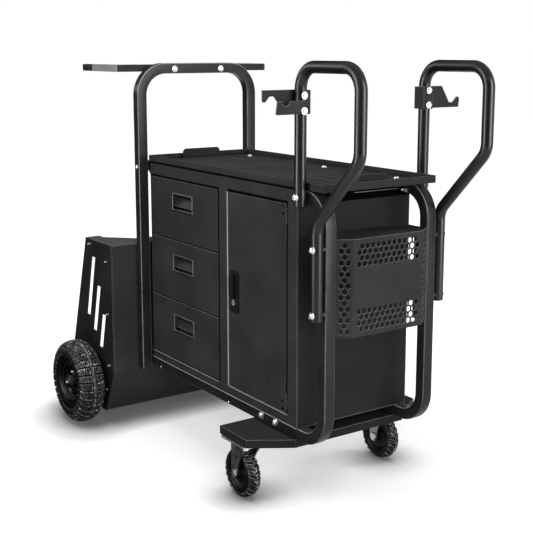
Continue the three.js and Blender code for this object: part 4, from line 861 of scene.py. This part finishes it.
class CART_OT_fasteners(bpy.types.Operator):
    """Make the bolts, screws and rivets that show"""
    bl_idname = "cart.fasteners"
    bl_label = "Fasteners"

    def execute(self, context):
        self.hoop_bolts()
        self.handle_bolts()
        self.hook_bolts()
        self.rail_bolts()
        self.frame_bolts()
        self.tray_bolts()
        self.rack_screws()
        self.door_rivets()
        return {"FINISHED"}

    def put(self, name, shape, finish="zinc", body="frame", slot="zinc"):
        return add_piece(name, shape, FINISHES[finish], body)

    def hoop_bolts(self):
        """Two through the push bar on the hoop's front, and one into each top rail from outside."""
        front = high("rear_hoop")[0]
        spots = np.array([(front, y, high("rear_hoop")[2] - 17.5 * MM) for y in (-81.5 * MM, 81.5 * MM)])
        self.put("hoop_bar_bolts", button_bolts(spots, AXIS_X, 7.5 * MM, 5 * MM))
        side_x = front - 14 * MM
        for side, sign in SIDES.items():
            y = sign * high("rear_hoop")[1]
            spots = np.array([(side_x, y, 0.811)])
            self.put(f"hoop_side_bolts_{side}", button_bolts(spots, sign * AXIS_Y, 6 * MM, 4 * MM))

    def handle_bolts(self):
        """Through each handle at its seats on the side frame."""
        for side, sign in SIDES.items():
            node = f"handle_{side}"
            lo, hi = low(node), high(node)
            y = hi[1] if sign > 0 else lo[1]
            rear = lo[0] + 14 * MM
            spots = [(rear, y - sign * 1.5 * MM, z) for z in HANDLE_REAR_SEATS]
            spots += [(rear + HANDLE_TAIL, y - sign * 1.5 * MM, z) for z in HANDLE_TAIL_SEATS]
            self.put(f"handle_bolts_{side}", button_bolts(np.array(spots), sign * AXIS_Y, 8 * MM, 6 * MM))

    def hook_bolts(self):
        """Two through each hook strap into the handle's leg, from the front."""
        for side, sign, heights in (("left", -1, (43.0, 7.0)), ("right", 1, (47.0, 10.0))):
            node = f"hook_{side}"
            handle = f"handle_{side}"
            leg = low(handle)[0] + 14 * MM
            face = leg + 17.3 * MM
            y = (low(handle)[1] + 14 * MM) if sign < 0 else (high(handle)[1] - 14 * MM)
            base = low(node)[2]
            spots = np.array([(face, y, base + z * MM) for z in heights])
            self.put(f"hook_bolts_{side}", hex_bolts(spots, AXIS_X, 6 * MM, 5 * MM))

    def rail_bolts(self):
        """Two on each bottom rail above the caster platform, and screws under the drawers."""
        for side, sign in SIDES.items():
            node = f"side_frame_{side}"
            y = high(node)[1] if sign > 0 else low(node)[1]
            rear = low(node)[0] + 42 * MM
            z = low(node)[2] + 17 * MM
            spots = np.array([(rear + x * MM, y, z) for x in (590.0, 655.0)])
            self.put(f"rail_bolts_{side}", button_bolts(spots, sign * AXIS_Y, 8.5 * MM, 6 * MM))
            spots = np.array([(rear + x * MM, y, low(node)[2] + 5 * MM) for x in (34.0, 426.0)])
            self.put(f"rail_screws_{side}", dome_rivets(spots, sign * AXIS_Y, 3.5 * MM, 2 * MM))

    def frame_bolts(self):
        """A nut and a bolt end on the inside of each side frame, under the front of the tray."""
        for side, sign in SIDES.items():
            node = f"side_frame_{side}"
            y = low(node)[1] if sign > 0 else high(node)[1]
            spots = np.array([(high(node)[0] - 85 * MM, y, high(node)[2] - 21.5 * MM)])
            self.put(f"frame_nut_{side}", hex_bolts(spots, -sign * AXIS_Y, 6.5 * MM, 6 * MM))
            self.put(f"frame_bolt_end_{side}", button_bolts(spots, -sign * AXIS_Y, 3 * MM, 15 * MM))

    def tray_bolts(self):
        """Along both edges of the tray floor."""
        base = low("top_tray")
        spots = np.array([(base[0] + x * MM, y * MM, base[2] + 2 * MM) for x in (58.0, 443.0, 752.0)
                          for y in (-147.0, 147.0)])
        self.put("tray_bolts", button_bolts(spots, AXIS_Z, 7.5 * MM, 5 * MM))

    def rack_screws(self):
        """Five through each rack side into the front wall and floor."""
        for side, sign in SIDES.items():
            node = f"rack_side_{side}"
            y = high(node)[1] if sign > 0 else low(node)[1]
            front = high(node)[0]
            places = ((-148.7, 560), (-32.7, 522), (-31.7, 357), (-28.2, 194), (-49.2, 112))
            spots = np.array([(front + x * MM, y, z * MM) for x, z in places])
            self.put(f"rack_screws_{side}", button_bolts(spots, sign * AXIS_Y, 4.0 * MM, 8 * MM), "dark_zinc")

    def door_rivets(self):
        """Two at each hinge on the door's hinged edge."""
        right, face = high("door")[0], low("door")[1]
        spots = np.array([(right - 14.3 * MM, face, z) for z in (0.782, 0.762, 0.2785, 0.259)])
        self.put("door_rivets", dome_rivets(spots, -AXIS_Y, 3.4 * MM, 2.0 * MM), "seam_rubber", "door",
                 "black_plastic")


class CART_OT_trim(bpy.types.Operator):
    """Make the thin rims round the drawer pulls and the plugs in the tube ends"""
    bl_idname = "cart.trim"
    bl_label = "Trim"

    def execute(self, context):
        for number in (1, 2, 3):
            self.pull_rim(number)
        self.tube_plugs(context.scene.cart.tubes)
        self.shade_and_highlight_strips()
        return {"FINISHED"}

    def strip(self, name, start, end, finish, body):
        """A thin strip that fills the box from start to end, carried along its longest side with rounded edges."""
        start, end = np.array(start), np.array(end)
        size = end - start
        run = int(np.argmax(size))
        ends = np.repeat(((start + end) / 2)[None], 2, 0)
        ends[:, run] = start[run], end[run]
        flat = AXIS_X if run == 1 else AXIS_Y
        across = np.cross(np.eye(3)[run], flat)
        section = box_section(abs(size @ across), abs(size @ flat), 0.25 * MM)
        add_piece(name, swept(ends, 0.0, section, flat, 2), FINISHES[finish], body)

    def shade_and_highlight_strips(self):
        """Near black strips in the gaps of the drawers and the door as painted shade, and light strips along the folded
        edges as painted highlight.
        """
        face, door_low, door_high = low("door")[1], low("door"), high("door")
        front, back = face - 0.3 * MM, face + 9 * MM
        left, right = low("drawer_1_front")[0], high("drawer_1_front")[0]
        head, sill = high("drawer_1_front")[2], low("drawer_3_front")[2]
        post, jamb = right + 7 * MM, door_high[0] + 6.5 * MM
        stop = door_low[0] - 3.2 * MM
        foot = door_low[2] - 2 * MM
        # Painted shade: near black strips in the gaps over and beside the drawers and the door.
        self.strip("drawer_head_seam", (left, front, head), (post, back, head + 6.5 * MM), "seam_rubber", "frame")
        self.strip("drawer_side_seam", (right + 0.2 * MM, front, sill), (post, back, head), "seam_rubber", "frame")
        self.strip("door_head_seam", (stop, front, door_high[2]), (jamb, back, door_high[2] + 8 * MM), "seam_rubber",
                   "frame")
        self.strip("door_side_seam", (door_high[0] + 0.2 * MM, front, foot), (jamb, back, door_high[2]), "seam_rubber",
                   "frame")
        # Painted highlight: light strips along the door's stop and sill.
        self.strip("door_stop_edge", (stop - 6 * MM, front, foot), (stop, back, door_high[2]), "bright_edge", "frame")
        self.strip("door_sill_edge", (stop, front, foot - 2.5 * MM), (jamb, back, foot), "bright_edge", "frame")
        # Painted shade: a near black strip under the bottom drawer.
        self.strip("drawer_sill_seam", (left, front, sill - 3.2 * MM), (right, back, sill - 0.2 * MM), "seam_rubber",
                   "frame")
        # Painted highlight: a light strip along the drawers' sill.
        self.strip("drawer_sill_edge", (left, front, sill - 5.5 * MM), (right, back, sill - 3.2 * MM), "bright_edge",
                   "frame")
        # Painted shade: near black strips in the gaps over the lower drawers.
        for number in (2, 3):
            top = high(f"drawer_{number}_front")[2]
            self.strip(f"drawer_seam_{number}", (left, face + 0.3 * MM, top + 0.1 * MM), (right, back, top + 3.2 * MM),
                       "seam_rubber", f"drawer_{number}")
        tray = low("top_tray")
        nose = high("cabinet_shell")[0]
        half = high("cabinet_end_panel")[1] - 0.5 * MM
        brow = high("cabinet_end_panel")[2]
        # Painted shade: a near black band across the end panel under the tray.
        self.strip("end_head_seam", (nose, -half, brow - 40 * MM), (nose + 0.9 * MM, half, brow - 0.3 * MM), "seam_rubber",
                   "frame")
        # Painted highlight: a light line across the end panel.
        self.strip("end_head_edge", (nose, -5 * MM, brow - 22 * MM), (nose + 1.8 * MM, 136 * MM, brow - 20.8 * MM),
                   "bright_edge", "frame")
        for side, sign in SIDES.items():
            # Painted shade: a near black strip under the tray along each side.
            inner, outer = sorted((sign * (abs(face) - 3 * MM), sign * (abs(face) + 0.4 * MM)))
            self.strip(f"tray_seam_{side}", (left, inner, tray[2] - 3.5 * MM), (nose, outer, tray[2] + 1.2 * MM),
                       "seam_rubber", "frame")
            # Painted highlight: a light strip along the foot of the cabinet on each side.
            base = low("cabinet_shell")[2]
            self.strip(f"cabinet_foot_edge_{side}", (left, inner, base + 0.2 * MM), (nose, outer, base + 2.7 * MM),
                       "bright_edge", "frame")
            inner, outer = sorted((sign * 172 * MM, sign * 176 * MM))
            hoop = high("rear_hoop")[0]
            self.strip(f"hoop_spacer_{side}", (hoop, inner, head + 6 * MM), (left - 0.2 * MM, outer, tray[2]),
                       "seam_rubber", "frame")
            self.strip(f"tray_spacer_{side}", (hoop, inner, tray[2]), (tray[0] - 0.2 * MM, outer, tray[2] + 17 * MM),
                       "seam_rubber", "frame")

    def pull_rim(self, number):
        """A bead carried round the pull's mouth, and a flat lip below it.

        The bead's centre line is a rounded rectangle and its section a circle; the lip is a box section along X.
        """
        node = f"drawer_{number}_pull"
        lo, hi = low(node), high(node)
        bead = 0.9 * MM
        base, top = lo[2] + PULL_MOUTH, hi[2]
        line = box_section(hi[0] - lo[0] - 2 * PULL_MOUTH + 2 * bead, top - base, 2 * MM)
        ahead = np.roll(line, -1, 0) - np.roll(line, 1, 0)
        ahead /= np.linalg.norm(ahead, axis=1)[:, None]
        outward = np.stack([ahead[:, 1], -ahead[:, 0]], -1)
        section = round_section(bead, 8)
        flat = line[:, None] + section[None, :, :1] * outward[:, None]
        depth = np.broadcast_to(section[None, :, 1], flat.shape[:2])
        centre_x, centre_z = middle(node)[0], (base + top) / 2 - bead
        points = np.stack([centre_x + flat[..., 0], lo[1] + depth, centre_z + flat[..., 1]], -1)
        shape = points.reshape(-1, 3), quads(len(line), len(section), True, True).tolist()
        add_piece(f"pull_rim_{number}", shape, FINISHES["pull_rim"], f"drawer_{number}")
        ends = [(lo[0] + PULL_MOUTH, lo[1] + 0.7 * MM, lo[2] - MM), (hi[0] - PULL_MOUTH, lo[1] + 0.7 * MM, lo[2] - MM)]
        lip = swept(ends, 0.0, box_section(8 * MM, 1.4 * MM, 0.5 * MM), AXIS_Y, 2)
        add_piece(f"pull_lip_{number}", lip, FINISHES["pull_plastic"], f"drawer_{number}")

    def tube_plugs(self, sizes):
        """A domed plastic plug in the lower ends of each handle."""
        radius = sizes.handle_radius
        t = np.linspace(0, 0.48 * math.pi, 7)
        dome = np.stack([0.98 * radius * np.cos(t), 2.2 * MM * np.sin(t)], -1)
        for side, sign in SIDES.items():
            node = f"handle_{side}"
            lo, hi = low(node), high(node)
            y = (hi[1] - radius) if sign > 0 else (lo[1] + radius)
            rear = lo[0] + radius
            spots = np.array([(rear, y, hi[2] - HANDLE_REAR_FOOT), (rear + HANDLE_TAIL, y, lo[2])])
            add_piece(f"tube_plugs_{side}", turned(dome, spots, -AXIS_Z, 32), FINISHES["black_plastic"], "frame")


# Stage

CAMERA_PLACE = (2.41624, -1.61138, 1.15548)
CAMERA_TURN_DEG = 55.70844
CAMERA_DOWN_DEG = 10.05058
FOCAL_PX = 1025.3688
CENTRE_PX = (270.2587, 232.8234)
IMAGE_PX = 533.0
SENSOR_MM = 36.0
FLOOR_GLOW_NEAR = 0.38
FLOOR_SHADE_LEAST = 0.2
FLOOR_SHADE = 0.13
FLAG_CENTRE = (-1.45, -1.2, 0.0)
FLAG_ALONG = (0.56, -0.83, 0.0)
FLAG_WIDTH = 2.6
FLAG_HEIGHT = 1.2
BACK_FLAG_CENTRE = (-1.9, 1.3, 0.6)
ACROSS_VIEW = (0.5635, 0.826, 0.0)
BACK_FLAG_WIDTH = 5.0
BACK_FLAG_HEIGHT = 4.0
FRONT_FLAG_CENTRE = (3.08, -2.06, 0.0)
FRONT_FLAG_WIDTH = 3.0
FRONT_FLAG_HEIGHT = 2.6
FLAG_NEAR = (0.5, -0.2, 0.0)
FLAG_REAR = (-0.75, -0.33, 0.0)
FLOOR_GLOW_FAR = 0.84
RIB_HALF = 0.03
# Strength of the painted sheen on the rear tyres' crown rib.
RIB_PAINTED_SHEEN = 0.42


class CART_OT_stage(bpy.types.Operator):
    """Make the floor, the studio light and the camera"""
    bl_idname = "cart.stage"
    bl_label = "Stage"

    def execute(self, context):
        settings = context.scene.cart.stage
        context.scene.view_settings.view_transform = "Standard"
        self.floor(settings)
        self.world(context.scene, settings)
        target = Vector((0.0, 0.0, 0.55))
        self.softbox("key_softbox", (0.3, -2.7, 2.7), target, 1.6, 1.6, settings.key_power)
        self.softbox("fill_softbox", (2.95, -0.97, 1.4), target, 1.4, 1.4, settings.fill_power)
        self.softbox("back_softbox", (1.3, 2.7, 2.2), target, 1.2, 1.2, settings.back_power)
        self.softbox("top_softbox", (0.2, -0.4, 3.3), target, 1.5, 1.5, settings.top_power)
        self.flags()
        self.card("left_card", (-0.5, -3.16, 1.2), target, 1.3, 2.6, settings.card_power)
        self.card("right_card", (3.07, 0.9, 1.2), target, 1.3, 2.6, settings.card_power)
        self.card("high_card", (-2.56, -1.93, 1.9), target, 1.2, 1.2, 0.12 * settings.card_power)
        self.camera(context.scene)
        return {"FINISHED"}

    def floor(self, settings):
        """A wide flat disc, white to the camera, that keeps the shadow of the cart, and whose colour and glow are
        darkened near the cart as a painted contact shadow.
        """
        angle = np.arange(96) * 2 * math.pi / 96
        rings = np.array([0.0, 1.0, 3.0, 14.0])
        points = np.stack([rings[:, None] * np.cos(angle), rings[:, None] * np.sin(angle),
                           np.zeros((len(rings), len(angle)))], -1)
        mesh = bpy.data.meshes.new("floor")
        mesh.from_pydata(points.reshape(-1, 3).tolist(), [], quads(len(rings), len(angle)).tolist())
        floor = bpy.data.objects.new("floor", mesh)
        bpy.context.scene.collection.objects.link(floor)
        n = Nodes("studio_floor")
        # Painted contact shadow: the floor's colour and glow fall towards black where the cart closes over it, down to
        # a fifth.
        open_sky = n.add("ShaderNodeAmbientOcclusion", {"Distance": FLOOR_SHADE}, samples=16).outputs["AO"]
        painted_contact_shadow = n.add("ShaderNodeMath", {0: open_sky, 1: 2.0}, operation="POWER").outputs[0]
        painted_contact_shadow = n.add("ShaderNodeMath", {0: painted_contact_shadow, 1: FLOOR_SHADE_LEAST}, operation="MAXIMUM").outputs[0]
        colour = n.blend(painted_contact_shadow, (0.0, 0.0, 0.0, 1.0), rgba(settings.floor))
        n.set(Base_Color=colour, Roughness=0.9, Specular_IOR_Level=0.0)
        seen = self.seen(n)
        n.put(n.shader, "Emission Color", (1.0, 1.0, 1.0, 1.0))
        # Painted glow, seen only by the camera and by gloss: it rises from near the middle to far out and whitens the
        # floor.
        distance = n.add("ShaderNodeVectorMath", {0: n.place}, operation="LENGTH").outputs["Value"]
        glow = n.span(distance, 0.55, 1.75, FLOOR_GLOW_NEAR, FLOOR_GLOW_FAR)
        glow = n.add("ShaderNodeMath", {0: glow, 1: painted_contact_shadow}, operation="MULTIPLY").outputs[0]
        strength = n.add("ShaderNodeMath", {0: seen, 1: glow}, operation="MULTIPLY").outputs[0]
        n.put(n.shader, "Emission Strength", strength)
        mesh.materials.append(n.material)

    def seen(self, n):
        """1 for rays from the camera and for mirrored or bent ones, so that metal shows the white floor too."""
        path = n.add("ShaderNodeLightPath").outputs
        glossy = n.add("ShaderNodeMath", {0: path["Is Camera Ray"], 1: path["Is Glossy Ray"]}, operation="MAXIMUM")
        return n.add("ShaderNodeMath", {0: glossy.outputs[0], 1: path["Is Transmission Ray"]},
                     operation="MAXIMUM").outputs[0]

    def world(self, scene, settings):
        """White where the camera sees it, an even grey light elsewhere."""
        world = bpy.data.worlds.new("studio_world")
        world.use_nodes = True
        tree = world.node_tree
        path = tree.nodes.new("ShaderNodeLightPath").outputs
        seen = path["Is Camera Ray"]
        for kind in ("Is Glossy Ray", "Is Transmission Ray"):
            either = tree.nodes.new("ShaderNodeMath")
            either.operation = "MAXIMUM"
            tree.links.new(seen, either.inputs[0])
            tree.links.new(path[kind], either.inputs[1])
            seen = either.outputs[0]
        level = tree.nodes.new("ShaderNodeMapRange")
        level.inputs["To Min"].default_value = settings.world_level
        level.inputs["To Max"].default_value = 1.0
        tree.links.new(seen, level.inputs["Value"])
        background = tree.nodes["Background"]
        background.inputs["Color"].default_value = (1.0, 1.0, 1.0, 1.0)
        tree.links.new(level.outputs["Result"], background.inputs["Strength"])
        scene.world = world

    def softbox(self, name, place, target, width, height, power):
        lamp = bpy.data.lights.new(name, "AREA")
        lamp.shape = "RECTANGLE"
        lamp.size, lamp.size_y, lamp.energy = width, height, power
        box = bpy.data.objects.new(name, lamp)
        box.location = place
        box.rotation_euler = (target - Vector(place)).to_track_quat("-Z", "Y").to_euler()
        box.visible_camera = False
        box.visible_glossy = False
        bpy.context.scene.collection.objects.link(box)
        return box

    def card(self, name, place, target, width, height, power):
        """A bright card that gloss shows as a highlight, and that lights nothing else."""
        card = self.softbox(name, place, target, width, height, power)
        card.visible_diffuse = False
        card.visible_glossy = True

    def flags(self):
        """Black boards that only gloss shows, so that the coat isn't hazed by the white floor and backdrop.

        One stands beyond the drawers, one lies on the floor before it, one stands behind the cart and one behind the
        camera.
        """
        left, right = self.standing("side_flag", FLAG_CENTRE, FLAG_ALONG, FLAG_WIDTH, FLAG_HEIGHT)
        self.standing("back_flag", BACK_FLAG_CENTRE, ACROSS_VIEW, BACK_FLAG_WIDTH, BACK_FLAG_HEIGHT)
        self.standing("front_flag", FRONT_FLAG_CENTRE, ACROSS_VIEW, FRONT_FLAG_WIDTH, FRONT_FLAG_HEIGHT)
        lift = Vector((0.0, 0.0, MM))
        self.board("lying_flag", (left + lift, Vector(FLAG_NEAR) + lift, Vector(FLAG_REAR) + lift, right + lift))

    def standing(self, name, foot, along, width, height):
        """An upright board with its foot's middle there; returns the two ends of its foot."""
        half = Vector(along).normalized() * width / 2
        left, right = Vector(foot) + half, Vector(foot) - half
        rise = Vector((0.0, 0.0, height))
        self.board(name, (left, right, right + rise, left + rise))
        return left, right

    def board(self, name, corners):
        mesh = bpy.data.meshes.new(name)
        mesh.from_pydata(corners, [], [(0, 1, 2, 3)])
        board = bpy.data.objects.new(name, mesh)
        bpy.context.scene.collection.objects.link(board)
        mesh.materials.append(FINISHES["seam_rubber"])
        for kind in ("camera", "diffuse", "shadow", "transmission", "volume_scatter"):
            setattr(board, f"visible_{kind}", False)

    def camera(self, scene):
        """The photograph's camera: turned about Z, tilted down, with its centre moved by the lens shift."""
        turn, down = math.radians(CAMERA_TURN_DEG), math.radians(CAMERA_DOWN_DEG)
        ahead = Vector((-math.sin(turn) * math.cos(down), math.cos(turn) * math.cos(down), -math.sin(down)))
        right = Vector((math.cos(turn), math.sin(turn), 0.0))
        up = right.cross(ahead)
        data = bpy.data.cameras.new("camera")
        data.sensor_width = SENSOR_MM
        data.lens = FOCAL_PX / IMAGE_PX * SENSOR_MM
        data.shift_x = (IMAGE_PX / 2 - CENTRE_PX[0]) / IMAGE_PX
        data.shift_y = (CENTRE_PX[1] - IMAGE_PX / 2) / IMAGE_PX
        data.clip_end = 60.0
        camera = bpy.data.objects.new("camera", data)
        turned_to = Matrix((right, up, -ahead)).transposed().to_4x4()
        camera.matrix_world = Matrix.Translation(CAMERA_PLACE) @ turned_to
        bpy.context.scene.collection.objects.link(camera)
        scene.camera = camera


class CART_PT_panel(bpy.types.Panel):
    """Lists the steps that dress the cart"""
    bl_label = "Welding cart"
    bl_idname = "CART_PT_panel"
    bl_space_type = "VIEW_3D"
    bl_region_type = "UI"
    bl_category = "Cart"

    def draw(self, context):
        for step in STEPS:
            self.layout.operator(step.bl_idname)


STEPS = (CART_OT_panels, CART_OT_tubes, CART_OT_rear_wheels, CART_OT_casters, CART_OT_fasteners, CART_OT_trim,
         CART_OT_stage)
CLASSES = (CartTubes, CartWheels, CartFinishes, CartStage, CartSettings, *STEPS, CART_PT_panel)


def register():
    for cls in CLASSES:
        bpy.utils.register_class(cls)
    bpy.types.Scene.cart = PointerProperty(type=CartSettings)


def unregister():
    del bpy.types.Scene.cart
    for cls in reversed(CLASSES):
        bpy.utils.unregister_class(cls)


def main():
    register()
    for step in STEPS:
        group, name = step.bl_idname.split(".")
        getattr(getattr(bpy.ops, group), name)()


if __name__ == "__main__":
    main()
